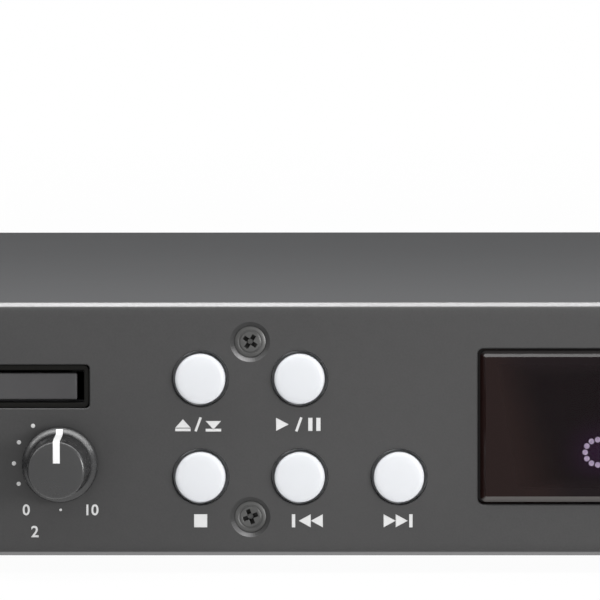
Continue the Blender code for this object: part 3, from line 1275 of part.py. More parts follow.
def ac_inlet():
    """Three-blade mains inlet: flange outside the rear sheet, body inside."""
    outer = REAR_FACE + GAP + INLET_FLANGE_THICK
    seat = REAR_FACE + GAP
    flange = centred(INLET_X, INLET_Z, INLET_FLANGE_WIDTH, INLET_FLANGE_HEIGHT)
    body = centred(INLET_X, INLET_Z, INLET_WIDTH, INLET_HEIGHT)
    shape = lofted("Y", [[(flange, outer), (flange, seat), (body, seat), (body, seat - INLET_DEPTH)]])
    left = INLET_X - INLET_WELL_WIDTH / 2
    right = INLET_X + INLET_WELL_WIDTH / 2
    low = INLET_Z - INLET_WELL_HEIGHT / 2
    high = INLET_Z + INLET_WELL_HEIGHT / 2
    chamfer = INLET_WELL_CHAMFER
    well = [(left, low), (right, low), (right, high - chamfer), (right - chamfer, high),
            (left + chamfer, high), (left, high - chamfer)]
    floor = outer - INLET_WELL_DEPTH
    shape = cut(shape, prism("Y", well, floor, outer + OVERRUN))
    blades = []
    for i, rise in ((-1, 0.0), (0, BLADE_RISE), (1, 0.0)):
        blade = centred(INLET_X + BLADE_PITCH * i, INLET_Z + rise, BLADE_WIDTH, BLADE_HEIGHT)
        blades.append(prism("Y", blade, floor - SINK, floor + BLADE_LENGTH))
    return fuse(shape, *blades)


def av_block():
    """Housing behind the rear sheet with two rows of signal sockets through it."""
    back = REAR_FACE - SHEET - GAP
    places = jack_places()
    left = min(x for x, z in places) - JACK_PITCH / 2
    right = max(x for x, z in places) + JACK_PITCH / 2
    top = max(z for x, z in places) + JACK_PITCH / 2
    housing = block(left, right, back - JACK_BODY_DEPTH, back, BOARD_TOP + GAP, top)
    sleeves = [cylinder("Y", x, z, JACK_RADIUS, back - SINK, REAR_FACE + JACK_REACH, 10) for x, z in places]
    bores = [cylinder("Y", x, z, JACK_BORE, back - JACK_REACH, REAR_FACE + JACK_REACH + OVERRUN, 8)
             for x, z in places]
    return cut(fuse(housing, *sleeves), many(bores))


def build():
    black_paint = material("black_paint", (0.035, 0.035, 0.037), 0.55)
    anodised = material("anodised_panel", (0.075, 0.075, 0.078), 0.5, 0.6)
    steel = material("zinc_steel", (0.55, 0.55, 0.56), 0.4, 1.0)
    rubber = material("rubber", (0.02, 0.02, 0.02), 0.85)
    screw_black = material("black_screw", (0.02, 0.02, 0.022), 0.4, 0.7)
    white = material("white_plastic", (0.82, 0.84, 0.88), 0.4)
    black = material("black_plastic", (0.03, 0.03, 0.032), 0.5)
    grey = material("tray_plastic", (0.085, 0.085, 0.085), 0.55)
    smoke = material("smoked_acrylic", (0.03, 0.018, 0.02), 0.08)
    glass = material("display_glass", (0.02, 0.02, 0.025), 0.1)
    board = material("circuit_board", (0.03, 0.16, 0.07), 0.55)
    nickel = material("nickel", (0.7, 0.7, 0.68), 0.25, 1.0)
    natural = material("natural_plastic", (0.72, 0.71, 0.66), 0.5)
    copper = material("transformer_tape", (0.65, 0.45, 0.08), 0.5)

    finish("front_panel", front_panel(), anodised)
    finish("chassis", chassis(), steel)
    finish("rear_panel", rear_panel(), black_paint)
    finish("top_cover", top_cover(), black_paint)
    foot_x = BODY_WIDTH / 2 - FOOT_INSET_X
    for end, y in (("front", WALL_FRONT + FOOT_INSET_Y), ("rear", REAR_FACE - FOOT_INSET_Y)):
        for side, x in (("left", -foot_x), ("right", foot_x)):
            finish("foot_" + end + "_" + side, foot(x, y), rubber)
    for number, (x, z) in enumerate(screw_places(), 1):
        finish("panel_screw_" + str(number), panel_screw(x, z), screw_black)

    for name, (x, z) in button_places().items():
        finish(name, button(x, z), white, (x, PANEL_FRONT, z))
    finish("button_board", button_board(), board)
    for name, x in knob_places().items():
        finish(name, knob(x), black, (x, PANEL_FRONT, CONTROL_Z))
        finish(name.replace("knob", "pot"), potentiometer(x), nickel)
    for name, x in mic_places().items():
        finish(name, mic_jack(x), black)
        finish(name.replace("jack", "nut"), mic_nut(x), nickel)
    finish("mic_board", mic_board(), board)
    finish("display_lens", display_lens(), smoke)
    finish("display_tube", display_tube(), glass)
    finish("display_board", display_board(), board)
    finish("power_switch", power_switch(), black)
    finish("power_rocker", power_rocker(), black, rocker_pivot())
    finish("usb_port", usb_port(), nickel)

    finish("loader_frame", loader_frame(), black)
    finish("disc_tray", disc_tray(), grey, (HUB_X, TRAY_FRONT, TRAY_LOW))
    finish("drive_gear", drive_gear(), natural, (DRIVE_X, DRIVE_Y, GEAR_LOW))
    finish("pulley_gear", pulley_gear(), natural, (PULLEY_X, PULLEY_Y, GEAR_LOW))
    finish("motor_pulley", motor_pulley(), natural, (MOTOR_X, MOTOR_Y, PULLEY_LOW))
    finish("drive_belt", drive_belt(), rubber)
    finish("loading_motor", loading_motor(), steel)
    finish("traverse", traverse(), steel, (HUB_X, PIVOT_Y, PIVOT_Z))
    finish("guide_rod_left", guide_rod(HUB_X - ROD_X), nickel)
    finish("guide_rod_right", guide_rod(HUB_X + ROD_X), nickel)
    finish("spindle_motor", spindle_motor(), steel)
    finish("turntable", turntable(), black, (HUB_X, HUB_Y, TABLE_TOP))
    finish("pickup_sled", pickup_sled(), black, (HUB_X, SLED_FRONT, SLED_LOW))
    finish("sled_gear", sled_gear(), natural, (SLED_GEAR_X, SLED_GEAR_Y, SLED_LOW))
    finish("sled_motor", sled_motor(), steel)
    finish("cam_slider", cam_slider(), natural, (HUB_X, slider_y(), FRAME_LOW))
    finish("clamp_bridge", clamp_bridge(), black)
    finish("clamp_puck", clamp_puck(), black, (HUB_X, HUB_Y, BRIDGE_TOP))

    finish("main_board", main_board(), board)
    finish("power_board", power_board(), board)
    finish("transformer", transformer(), copper)
    finish("ac_inlet", ac_inlet(), black)
    finish("av_block", av_block(), black)


for old in list(bpy.data.objects):
    bpy.data.objects.remove(old)
build()
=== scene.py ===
import math

import bmesh
import bpy
from mathutils import Matrix, Vector
from mathutils.bvhtree import BVHTree


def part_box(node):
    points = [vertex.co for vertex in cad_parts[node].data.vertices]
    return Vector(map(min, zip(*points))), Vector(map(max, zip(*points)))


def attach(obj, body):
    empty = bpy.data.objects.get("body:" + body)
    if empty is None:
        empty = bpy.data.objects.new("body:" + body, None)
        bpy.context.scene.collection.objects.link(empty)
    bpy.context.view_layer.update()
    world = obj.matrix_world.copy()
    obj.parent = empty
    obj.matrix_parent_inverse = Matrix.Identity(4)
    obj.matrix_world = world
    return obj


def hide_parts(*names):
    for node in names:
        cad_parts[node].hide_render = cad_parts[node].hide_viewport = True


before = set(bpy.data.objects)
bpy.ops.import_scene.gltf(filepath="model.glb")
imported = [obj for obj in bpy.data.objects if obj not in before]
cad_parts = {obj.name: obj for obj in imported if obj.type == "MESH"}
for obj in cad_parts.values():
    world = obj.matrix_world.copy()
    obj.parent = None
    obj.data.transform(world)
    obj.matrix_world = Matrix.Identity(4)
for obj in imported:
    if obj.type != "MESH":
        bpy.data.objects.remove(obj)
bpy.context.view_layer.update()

# The studio: a white sweep of floor, a camera on a long lens a little above
# the player, a broad lamp over it and a smaller one to the right in front.
MM = 0.001
CAMERA_PLACE = Vector((0.045, -2.0165, 0.1645))
CAMERA_AIM = Vector((0.0, -0.1165, 0.047545))
CAMERA_ROLL = math.radians(-0.11)
FLOOR_SIZE = 40.0


class Wire:
    """A socket in a finish's wiring, so that a finish reads as sums."""

    def __init__(self, tree, socket=None):
        self.tree = tree
        self.socket = socket

    def node(self, kind, settings, sockets, output=0):
        made = self.tree.nodes.new(kind)
        for name, value in settings.items():
            setattr(made, name, value)
        for name, value in sockets.items():
            if isinstance(value, Wire):
                self.tree.links.new(value.socket, made.inputs[name])
            else:
                made.inputs[name].default_value = value
        return Wire(self.tree, made.outputs[output] if len(made.outputs) else None)

    def sum(self, operation, first, second):
        return self.node("ShaderNodeMath", {"operation": operation}, {0: first, 1: second})

    def __add__(self, other):
        return self.sum("ADD", self, other)

    def __radd__(self, other):
        return self.sum("ADD", other, self)

    def __sub__(self, other):
        return self.sum("SUBTRACT", self, other)

    def __rsub__(self, other):
        return self.sum("SUBTRACT", other, self)

    def __mul__(self, other):
        return self.sum("MULTIPLY", self, other)

    def __rmul__(self, other):
        return self.sum("MULTIPLY", other, self)

    def span(self, low, high, start=0.0, end=1.0):
        """This value's run from low to high, drawn out from start to end and held there."""
        return self.node("ShaderNodeMapRange", {},
                         {"Value": self, "From Min": low, "From Max": high, "To Min": start, "To Max": end})


def new_finish(name):
    material = bpy.data.materials.new(name)
    material.use_nodes = True
    material.node_tree.nodes.clear()
    return material, Wire(material.node_tree)


def noise(wires, scale, detail=2.0, stretch=(1.0, 1.0, 1.0)):
    """Grey clouds about a metre divided by scale across, in the object's own space."""
    place = wires.node("ShaderNodeTexCoord", {}, {}, "Object")
    place = wires.node("ShaderNodeMapping", {}, {"Vector": place, "Scale": stretch})
    return wires.node("ShaderNodeTexNoise", {}, {"Vector": place, "Scale": scale, "Detail": detail})


def mixed(wires, mask, first, second):
    return wires.node("ShaderNodeMix", {"data_type": "RGBA"}, {0: mask, 6: first, 7: second}, 2)


def white_sight(wires):
    """1 where the camera, a reflection or clear plastic sees this directly."""
    path = wires.node("ShaderNodeLightPath", {}, {}, "Is Camera Ray")
    glossy = wires.node("ShaderNodeLightPath", {}, {}, "Is Glossy Ray")
    clear = wires.node("ShaderNodeLightPath", {}, {}, "Is Transmission Ray")
    return (path + glossy + clear).span(0.0, 1.0)


camera = bpy.data.objects.new("camera", bpy.data.cameras.new("camera"))
camera.data.lens = 658.1
camera.data.sensor_width = 36.0
camera.location = CAMERA_PLACE
camera.rotation_euler = (CAMERA_AIM - CAMERA_PLACE).to_track_quat("-Z", "Y").to_euler()
camera.rotation_euler.rotate_axis("Z", CAMERA_ROLL)
bpy.context.scene.collection.objects.link(camera)
bpy.context.scene.camera = camera

bm = bmesh.new()
bmesh.ops.create_grid(bm, x_segments=1, y_segments=1, size=FLOOR_SIZE / 2)
floor_mesh = bpy.data.meshes.new("studio_floor")
bm.to_mesh(floor_mesh)
bm.free()
studio_floor = bpy.data.objects.new("studio_floor", floor_mesh)
bpy.context.scene.collection.objects.link(studio_floor)
material, wires = new_finish("white_floor")
matt = wires.node("ShaderNodeBsdfDiffuse", {}, {"Color": (0.86, 0.86, 0.86, 1.0)})
glow = wires.node("ShaderNodeEmission", {}, {"Color": (1.0, 1.0, 1.0, 1.0), "Strength": 1.0})
place = wires.node("ShaderNodeTexCoord", {}, {}, "Object")
away = wires.node("ShaderNodeVectorMath", {"operation": "LENGTH"}, {0: place}, "Value")
share = wires.node("ShaderNodeMixShader", {}, {0: white_sight(wires) * away.span(0.5, 1.5, 0.96, 1.0), 1: matt, 2: glow})
wires.node("ShaderNodeOutputMaterial", {}, {"Surface": share})
floor_mesh.materials.append(material)

world = bpy.data.worlds.new("studio")
world.use_nodes = True
world.node_tree.nodes.clear()
wires = Wire(world.node_tree)
air = wires.node("ShaderNodeBackground", {}, {"Color": (1.0, 1.0, 1.0, 1.0), "Strength": white_sight(wires).span(0.0, 1.0, 0.62, 1.0)})
wires.node("ShaderNodeOutputWorld", {}, {"Surface": air})
bpy.context.scene.world = world


def lamp(name, width, depth, place, aim, power):
    light = bpy.data.lights.new(name, "AREA")
    light.shape = "RECTANGLE"
    light.size = width
    light.size_y = depth
    light.energy = power
    placed = bpy.data.objects.new(name, light)
    placed.location = place
    placed.rotation_euler = (Vector(aim) - Vector(place)).to_track_quat("-Z", "Y").to_euler()
    placed.visible_camera = False
    bpy.context.scene.collection.objects.link(placed)


lamp("overhead_lamp", 1.2, 0.045, (0.10, -0.152, 0.27), (0.10, -0.152, 0.0), 1.4)
lamp("side_lamp", 0.3, 0.3, (0.60, -0.80, 0.10), (0.05, -0.12, 0.03), 4.2)
bpy.context.scene.view_settings.view_transform = "Standard"


# The chassis: base, front wall and side lips folded from one sheet of zinc
# plated steel, with standoffs for the boards. It carries everything else.
ZINC = (0.46, 0.47, 0.48, 1.0)
ZINC_DULL = (0.33, 0.34, 0.35, 1.0)


def bumpy(wires, height, strength, depth):
    """A bump on edges that are rounded by a hair, as no real edge is sharp."""
    edge = wires.node("ShaderNodeBevel", {"samples": 4}, {"Radius": 0.2 * MM})
    return wires.node("ShaderNodeBump", {}, {"Height": height, "Strength": strength, "Distance": depth, "Normal": edge})


def skin(wires, sockets):
    shader = wires.node("ShaderNodeBsdfPrincipled", {}, sockets)
    wires.node("ShaderNodeOutputMaterial", {}, {"Surface": shader})


def dress(material, *nodes):
    for node in nodes:
        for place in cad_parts[node].material_slots:
            place.material = material


def sheet_metal(name, bright, dull, rough, spread, stretch=(1.0, 1.0, 1.0)):
    """Rolled and plated metal: cloudy plating, faint rolling lines and handling marks."""
    material, wires = new_finish(name)
    clouds = noise(wires, 60.0, 4.0).span(0.35, 0.7)
    lines = noise(wires, 900.0, 2.0, stretch)
    marks = noise(wires, 240.0, 6.0).span(0.55, 0.75)
    skin(wires, {
        "Base Color": mixed(wires, clouds * 0.7 + lines * 0.3, bright, dull),
        "Metallic": 1.0,
        "Roughness": (clouds * 0.5 + marks * 0.3 + lines * 0.2).span(0.0, 1.0, rough, rough + spread),
        "Normal": bumpy(wires, lines + clouds * 0.5, 0.25, 0.02 * MM)})
    return material


zinc = sheet_metal("plated_sheet", ZINC, ZINC_DULL, 0.32, 0.25, (0.08, 1.0, 1.0))
dress(zinc, "chassis")


# Four feet: moulded rubber cups under the corners of the base, each held by
# one screw that sits deep in its middle.
RUBBER = (0.022, 0.022, 0.023, 1.0)
RUBBER_DUSTY = (0.040, 0.040, 0.041, 1.0)
FOOT_STEPS = 64


def moulding(name, colour, worn, rough, grain=1200.0, depth=0.03, sheen=0.5):
    """Moulded plastic or rubber: fine spark-eroded grain, slow shade changes, rubbed edges."""
    material, wires = new_finish(name)
    slow = noise(wires, 45.0, 3.0).span(0.3, 0.7)
    fine = noise(wires, grain, 3.0)
    edge = wires.node("ShaderNodeBevel", {"samples": 4}, {"Radius": 0.35 * MM})
    true = wires.node("ShaderNodeNewGeometry", {}, {}, "Normal")
    along = wires.node("ShaderNodeVectorMath", {"operation": "DOT_PRODUCT"}, {0: edge, 1: true}, "Value")
    rubbed = (1.0 - along).span(0.02, 0.3) * fine.span(0.35, 0.6)
    skin(wires, {
        "Base Color": mixed(wires, rubbed * 0.7 + slow * 0.3, colour, worn),
        "Roughness": (slow * 0.5 + fine * 0.5).span(0.2, 0.8, rough - 0.06, rough + 0.06),
        "Specular IOR Level": sheen,
        "Normal": bumpy(wires, fine, 0.3, depth * MM)})
    return material


def turned(profile, centre, steps, axis="Y"):
    """A lathe shape from pairs of radius and distance along its axis."""
    bm = bmesh.new()
    line = [bm.verts.new((radius, along, 0.0)) for radius, along in profile]
    edges = [bm.edges.new(pair) for pair in zip(line, line[1:])]
    bmesh.ops.spin(bm, geom=line + edges, cent=(0, 0, 0), axis=(0, 1, 0), dvec=(0, 0, 0), angle=math.tau,
                   steps=steps, use_merge=True, use_duplicate=False)
    bmesh.ops.remove_doubles(bm, verts=bm.verts, dist=1e-7)
    bmesh.ops.recalc_face_normals(bm, faces=bm.faces)
    if axis == "Z":
        bmesh.ops.rotate(bm, verts=bm.verts, cent=(0, 0, 0), matrix=Matrix.Rotation(math.pi / 2, 3, "X"))
    bmesh.ops.translate(bm, verts=bm.verts, vec=centre)
    return bm


def piece(name, bm, material, slot, body, *nodes, flat=False):
    """Makes the bmesh an object that rides on body and stands for nodes; flat keeps wide faces flat to the eye."""
    mesh = bpy.data.meshes.new(name)
    bm.to_mesh(mesh)
    bm.free()
    for face in mesh.polygons:
        face.use_smooth = True
    mesh.set_sharp_from_angle(angle=math.radians(32.0))
    mesh.materials.append(material)
    made = bpy.data.objects.new(name, mesh)
    bpy.context.scene.collection.objects.link(made)
    if flat:
        made.modifiers.new("flat_faces", "WEIGHTED_NORMAL").keep_sharp = True
    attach(made, body)
    if nodes:
        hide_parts(*nodes)
    return made


rubber = moulding("foot_rubber", RUBBER, RUBBER_DUSTY, 0.78, 900.0, 0.05, 0.3)
dark_screw = sheet_metal("black_oxide", (0.16, 0.16, 0.157, 1.0), (0.06, 0.06, 0.06, 1.0), 0.34, 0.2)
foot_profile = [(0.0, 2.2), (3.1, 2.2), (3.4, 2.0), (3.5, 1.7), (3.5, 0.5), (3.65, 0.15), (4.0, 0.0), (8.5, 0.0),
                (8.85, 0.1), (9.05, 0.4), (9.25, 1.1), (9.8, 3.2), (9.97, 3.9), (10.0, 4.1), (9.9, 4.2), (0.0, 4.2)]
for end in ("front", "rear"):
    for side in ("left", "right"):
        node = "foot_" + end + "_" + side
        low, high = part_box(node)
        middle = (low + high) / 2
        bm = turned([(r * MM, z * MM) for r, z in foot_profile], (middle.x, middle.y, 0.0), FOOT_STEPS, "Z")
        piece("moulded_" + node, bm, rubber, "rubber", "case", node)
        head = [(0.0, 1.15), (0.6, 1.15), (0.8, 1.4), (2.4, 1.2), (2.9, 1.5), (3.0, 2.15), (0.0, 2.15)]
        bm = turned([(r * MM, z * MM) for r, z in head], (middle.x, middle.y, 0.0), 40, "Z")
        piece("screw_in_" + node, bm, dark_screw, "screw_black", "case")


# The disc loader: a black moulded frame screwed to the base, with the grey
# tray on its rails, white acetal gears, a belt and the loading motor.
acetal = moulding("white_acetal", (0.72, 0.71, 0.66, 1.0), (0.80, 0.79, 0.75, 1.0), 0.42, 1500.0, 0.01)
black_moulding = moulding("black_moulding", (0.028, 0.028, 0.030, 1.0), (0.055, 0.055, 0.058, 1.0), 0.5)
tray_grey = moulding("tray_grey", (0.031, 0.030, 0.033, 1.0), (0.10, 0.099, 0.096, 1.0), 0.5, 1600.0, 0.02)
steel_can = sheet_metal("motor_steel", (0.58, 0.58, 0.60, 1.0), (0.42, 0.42, 0.43, 1.0), 0.28, 0.2)


def eased(node, width, steps=2, limit=30.0):
    """A copy of a node's solid with its sharp edges rounded off."""
    bm = bmesh.new()
    bm.from_mesh(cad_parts[node].data)
    bmesh.ops.remove_doubles(bm, verts=bm.verts, dist=1e-6)
    bmesh.ops.dissolve_limit(bm, angle_limit=math.radians(1.0), verts=bm.verts, edges=bm.edges)
    sharp = [edge for edge in bm.edges if len(edge.link_faces) == 2 and edge.calc_face_angle() > math.radians(limit)]
    bmesh.ops.bevel(bm, geom=sharp, offset=width, offset_type="OFFSET", affect="EDGES", segments=steps, profile=0.5,
                    material=-1, clamp_overlap=True)
    bmesh.ops.recalc_face_normals(bm, faces=bm.faces)
    return bm


dress(black_moulding, "loader_frame", "clamp_bridge", "clamp_puck", "pickup_sled", "turntable")
dress(acetal, "drive_gear", "pulley_gear", "motor_pulley", "cam_slider", "sled_gear")
dress(rubber, "drive_belt")
dress(steel_can, "loading_motor", "spindle_motor", "sled_motor", "traverse", "guide_rod_left", "guide_rod_right")
piece("moulded_disc_tray", eased("disc_tray", 0.3 * MM), tray_grey, "grey_plastic", "tray_body", "disc_tray", flat=True)


# The circuit boards: green lacquered glass fibre with copper tracks under the
# lacquer, on standoffs, and the mains transformer in its yellow tape.
BOARD_SHEET = 1.6 * MM
CORE_DEPTH = 26.0 * MM
MASK_GREEN = (0.020, 0.130, 0.055, 1.0)
TRACK_GREEN = (0.035, 0.190, 0.085, 1.0)
PART_BLACK = (0.018, 0.018, 0.020, 1.0)
CAN_TOP = (0.50, 0.50, 0.51, 1.0)


def lacquered_board(node, axis, outward):
    """Green lacquer on the sheet itself; what stands on it is black, the tall cans bare metal on top."""
    material, wires = new_finish("lacquered_" + node)
    low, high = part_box(node)
    side = "XYZ".index(axis)
    level = low[side] + BOARD_SHEET if outward > 0 else high[side] - BOARD_SHEET
    place = wires.node("ShaderNodeTexCoord", {}, {}, "Object")
    height = (wires.node("ShaderNodeSeparateXYZ", {}, {"Vector": place}, axis) - level) * outward
    faced = wires.node("ShaderNodeNewGeometry", {}, {}, "True Normal")
    facing = wires.node("ShaderNodeSeparateXYZ", {}, {"Vector": faced}, axis) * outward
    tracks = wires.node("ShaderNodeTexVoronoi", {"distance": "CHEBYCHEV", "feature": "F1"},
                        {"Vector": place, "Scale": 260.0, "Randomness": 0.8})
    mask = tracks.span(0.28, 0.34)
    slow = noise(wires, 30.0, 3.0).span(0.3, 0.7)
    sheet = mixed(wires, mask * 0.8 + slow * 0.2, TRACK_GREEN, MASK_GREEN)
    part = mixed(wires, height.span(9.0 * MM, 9.5 * MM) * facing.span(0.8, 0.9), PART_BLACK, CAN_TOP)
    skin(wires, {
        "Base Color": mixed(wires, height.span(0.02 * MM, 0.06 * MM), sheet, part),
        "Roughness": slow.span(0.0, 1.0, 0.28, 0.42),
        "Normal": bumpy(wires, mask, 0.4, 0.05 * MM)})
    return material


def wound():
    """A dark ferrite core, with yellow tape on the winding that stands out of it."""
    material, wires = new_finish("wound_core")
    low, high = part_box("transformer")
    place = wires.node("ShaderNodeTexCoord", {}, {}, "Object")
    off = wires.sum("ABSOLUTE", wires.node("ShaderNodeSeparateXYZ", {}, {"Vector": place}, "Y") - (low.y + high.y) / 2, 0.0)
    slow = noise(wires, 300.0, 3.0).span(0.3, 0.7)
    ferrite = mixed(wires, slow, (0.030, 0.030, 0.032, 1.0), (0.055, 0.055, 0.057, 1.0))
    tape = mixed(wires, slow, (0.62, 0.42, 0.07, 1.0), (0.50, 0.33, 0.06, 1.0))
    skin(wires, {
        "Base Color": mixed(wires, off.span(CORE_DEPTH / 2 + 0.02 * MM, CORE_DEPTH / 2 + 0.1 * MM), ferrite, tape),
        "Roughness": slow.span(0.0, 1.0, 0.36, 0.5),
        "Normal": bumpy(wires, slow, 0.3, 0.05 * MM)})
    return material


for node, axis, outward in (("main_board", "Z", 1), ("power_board", "Z", 1), ("mic_board", "Z", 1),
                            ("button_board", "Y", -1), ("display_board", "Y", 1)):
    dress(lacquered_board(node, axis, outward), node)
dress(wound(), "transformer")


# The rear panel: painted sheet steel screwed to the base, with the mains
# inlet and the block of signal sockets in it.
def powder_coat(name, colour, light, rough, sheen, bending=1.5):
    """Baked powder paint: a fine orange peel with lighter, rubbed edges."""
    material, wires = new_finish(name)
    peel = noise(wires, 1400.0, 2.0)
    slow = noise(wires, 25.0, 3.0).span(0.3, 0.7)
    edge = wires.node("ShaderNodeBevel", {"samples": 4}, {"Radius": 0.4 * MM})
    true = wires.node("ShaderNodeNewGeometry", {}, {}, "Normal")
    along = wires.node("ShaderNodeVectorMath", {"operation": "DOT_PRODUCT"}, {0: edge, 1: true}, "Value")
    rubbed = (1.0 - along).span(0.03, 0.3)
    skin(wires, {
        "Base Color": mixed(wires, rubbed * 0.6 + slow * 0.15 + peel * 0.25, colour, light),
        "Roughness": (slow * 0.4 + peel * 0.6).span(0.2, 0.8, rough - 0.07, rough + 0.07),
        "Specular IOR Level": sheen, "IOR": bending,
        "Normal": bumpy(wires, peel, 0.35, 0.04 * MM)})
    return material


def block(bm, low, high):
    points = bmesh.ops.create_cube(bm, size=1.0)["verts"]
    size = Vector(high) - Vector(low)
    bmesh.ops.scale(bm, verts=points, vec=size)
    bmesh.ops.translate(bm, verts=points, vec=(Vector(high) + Vector(low)) / 2)
    return points


def rounded(bm, width, steps=2):
    bmesh.ops.bevel(bm, geom=bm.edges[:], offset=width, offset_type="OFFSET", affect="EDGES", segments=steps, profile=0.5,
                    material=-1, clamp_overlap=True)


black_coat = powder_coat("black_coat", (0.055, 0.055, 0.058, 1.0), (0.095, 0.095, 0.100, 1.0), 0.6, 0.25)
dress(black_coat, "rear_panel")
nickel = sheet_metal("nickel_plate", (0.66, 0.65, 0.62, 1.0), (0.52, 0.51, 0.49, 1.0), 0.18, 0.15)
piece("moulded_ac_inlet", eased("ac_inlet", 0.4 * MM), black_moulding, "black_plastic", "case", "ac_inlet", flat=True)
for number, (x, z) in enumerate(((171.0, 24.0), (178.0, 26.0), (185.0, 24.0)), 1):
    bm = bmesh.new()
    block(bm, ((x - 1.05) * MM, 110.3 * MM, (z - 2.05) * MM), ((x + 1.05) * MM, 123.4 * MM, (z + 2.05) * MM))
    rounded(bm, 0.3 * MM)
    piece("inlet_blade_" + str(number), bm, nickel, "nickel", "case")

REAR_FACE = 123.5 * MM
low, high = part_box("av_block")
bm = bmesh.new()
block(bm, low, (high.x, REAR_FACE - 1.3 * MM, high.z))
rounded(bm, 0.6 * MM)
piece("signal_socket_body", bm, black_moulding, "black_plastic", "case", "av_block")
shell = [(3.45, 124.6), (3.45, 131.9), (3.6, 132.35), (3.8, 132.5), (4.0, 132.4), (4.2, 132.0), (4.2, 124.9), (4.5, 124.7), (4.55, 123.9),
         (4.5, 122.0), (1.7, 122.0), (1.7, 124.6), (3.45, 124.6)]
core = [(3.4, 124.4), (3.4, 131.0), (3.25, 131.3), (2.0, 131.4), (1.75, 131.2), (1.7, 126.0), (1.2, 126.0), (1.2, 124.4), (3.4, 124.4)]
yellow = moulding("socket_yellow", (0.70, 0.48, 0.03, 1.0), (0.75, 0.56, 0.10, 1.0), 0.4)
red = moulding("socket_red", (0.45, 0.02, 0.02, 1.0), (0.52, 0.07, 0.06, 1.0), 0.4)
pale = moulding("socket_white", (0.62, 0.62, 0.60, 1.0), (0.70, 0.70, 0.68, 1.0), 0.4)
for column, x in enumerate((-141.0, -127.0, -113.0, -99.0), 1):
    for row, z in enumerate((33.0, 19.0), 1):
        spot = (x * MM, 0.0, z * MM)
        label = str(column) + "_" + str(row)
        bm = turned([(r * MM, y * MM) for r, y in shell], spot, 40)
        piece("socket_shell_" + label, bm, nickel, "nickel", "case")
        bm = turned([(r * MM, y * MM) for r, y in core], spot, 40)
        piece("socket_core_" + label, bm, yellow if column == 4 else (pale, red)[row - 1], "white_plastic", "case")


# The front panel: a 3 mm plate of dark anodised aluminium with a bright cut
# bevel round it, rack slots in its ears, and the openings for the controls.
PANEL_FACE = -116.5 * MM
PANEL_REAR = -113.5 * MM
PANEL_MIDDLE = 25.0 * MM
BEVEL = 0.6 * MM
BEVEL_DEPTH = 0.96 * MM
BURR = 0.15 * MM
BUTTONS = {"open": (-17.35 * MM, 33.85 * MM), "play": (-0.1 * MM, 33.85 * MM), "stop": (-17.35 * MM, 16.75 * MM),
           "previous": (-0.1 * MM, 16.75 * MM), "next": (17.15 * MM, 16.75 * MM)}
SCREWS = [(x * MM, z * MM) for x in (-207.5, -8.7, 207.5) for z in (40.25, 9.75)]
KNOBS = {"volume_knob_2": -41.7 * MM, "volume_knob_1": -70.8 * MM, "echo_knob": -99.9 * MM}
SOCKETS = {"mic_jack_1": -158.1 * MM, "mic_jack_2": -129.0 * MM}
CONTROL_HEIGHT = 19.1 * MM


def ring(bm, x, y, z, width, height=None, corner=0.0, steps=48):
    """An upright loop of edges: a circle, or a rounded rectangle where it has a height."""
    if height is None:
        points = bmesh.ops.create_circle(bm, cap_ends=False, segments=steps, radius=width / 2)["verts"]
    else:
        points = bmesh.ops.create_grid(bm, x_segments=1, y_segments=1, size=0.5)["verts"]
        bmesh.ops.scale(bm, verts=points, vec=(width, height, 1.0))
        if corner:
            points = bmesh.ops.bevel(bm, geom=points, offset=corner, offset_type="OFFSET", affect="VERTICES",
                                     segments=steps, profile=0.5, material=-1)["verts"]
        faces = list({face for point in points for face in point.link_faces})
        bmesh.ops.delete(bm, geom=faces, context="FACES_ONLY")
    bmesh.ops.rotate(bm, verts=points, cent=(0, 0, 0), matrix=Matrix.Rotation(math.pi / 2, 3, "X"))
    bmesh.ops.translate(bm, verts=points, vec=(x, y, z))
    return list({edge for point in points for edge in point.link_edges})


def drilled(bm, x, z, levels, width, height=None, corner=0.0, steps=48):
    """Walls through a plate, from pairs of depth and growth; gives the first and the last loop."""
    loops = []
    for depth, grow in levels:
        tall = None if height is None else height + 2 * grow
        round_off = max(corner + grow, BURR) if corner else 0.0
        loops.append(ring(bm, x, depth, z, width + 2 * grow, tall, round_off, steps))
    for near, far in zip(loops, loops[1:]):
        bmesh.ops.bridge_loops(bm, edges=near + far)
    return loops[0], loops[-1]


bm = bmesh.new()
softened = [(PANEL_FACE, -2.3 * MM), (PANEL_FACE + 0.02 * MM, -1.8 * MM), (PANEL_FACE + 0.07 * MM, -1.3 * MM),
            (PANEL_FACE + 0.16 * MM, -0.95 * MM), (PANEL_FACE + 0.36 * MM, -BEVEL), (PANEL_FACE + BEVEL_DEPTH, 0.0),
            (PANEL_REAR - 0.15 * MM, 0.0), (PANEL_REAR, -0.15 * MM)]
cut_edge = [(PANEL_FACE, BURR), (PANEL_FACE + BURR, 0.0), (PANEL_REAR, 0.0)]
loops = [drilled(bm, 0.0, PANEL_MIDDLE, softened, 482.6 * MM, 44.0 * MM, 1.2 * MM, 6)]
for x, z in SCREWS:
    sink = [(PANEL_FACE, 1.7 * MM), (PANEL_FACE + 0.08 * MM, 1.62 * MM), (PANEL_FACE + 1.7 * MM, 0.0),
            (PANEL_REAR, 0.0)]
    loops.append(drilled(bm, x, z, sink, 3.6 * MM))
for x, z in BUTTONS.values():
    loops.append(drilled(bm, x, z, cut_edge, 9.8 * MM))
for x in KNOBS.values():
    loops.append(drilled(bm, x, CONTROL_HEIGHT, cut_edge, 9.0 * MM))
for x in SOCKETS.values():
    loops.append(drilled(bm, x, CONTROL_HEIGHT, cut_edge, 9.6 * MM))
loops.append(drilled(bm, -104.1 * MM, 32.5 * MM, cut_edge, 135.0 * MM, 7.6 * MM, 0.7 * MM, 4))
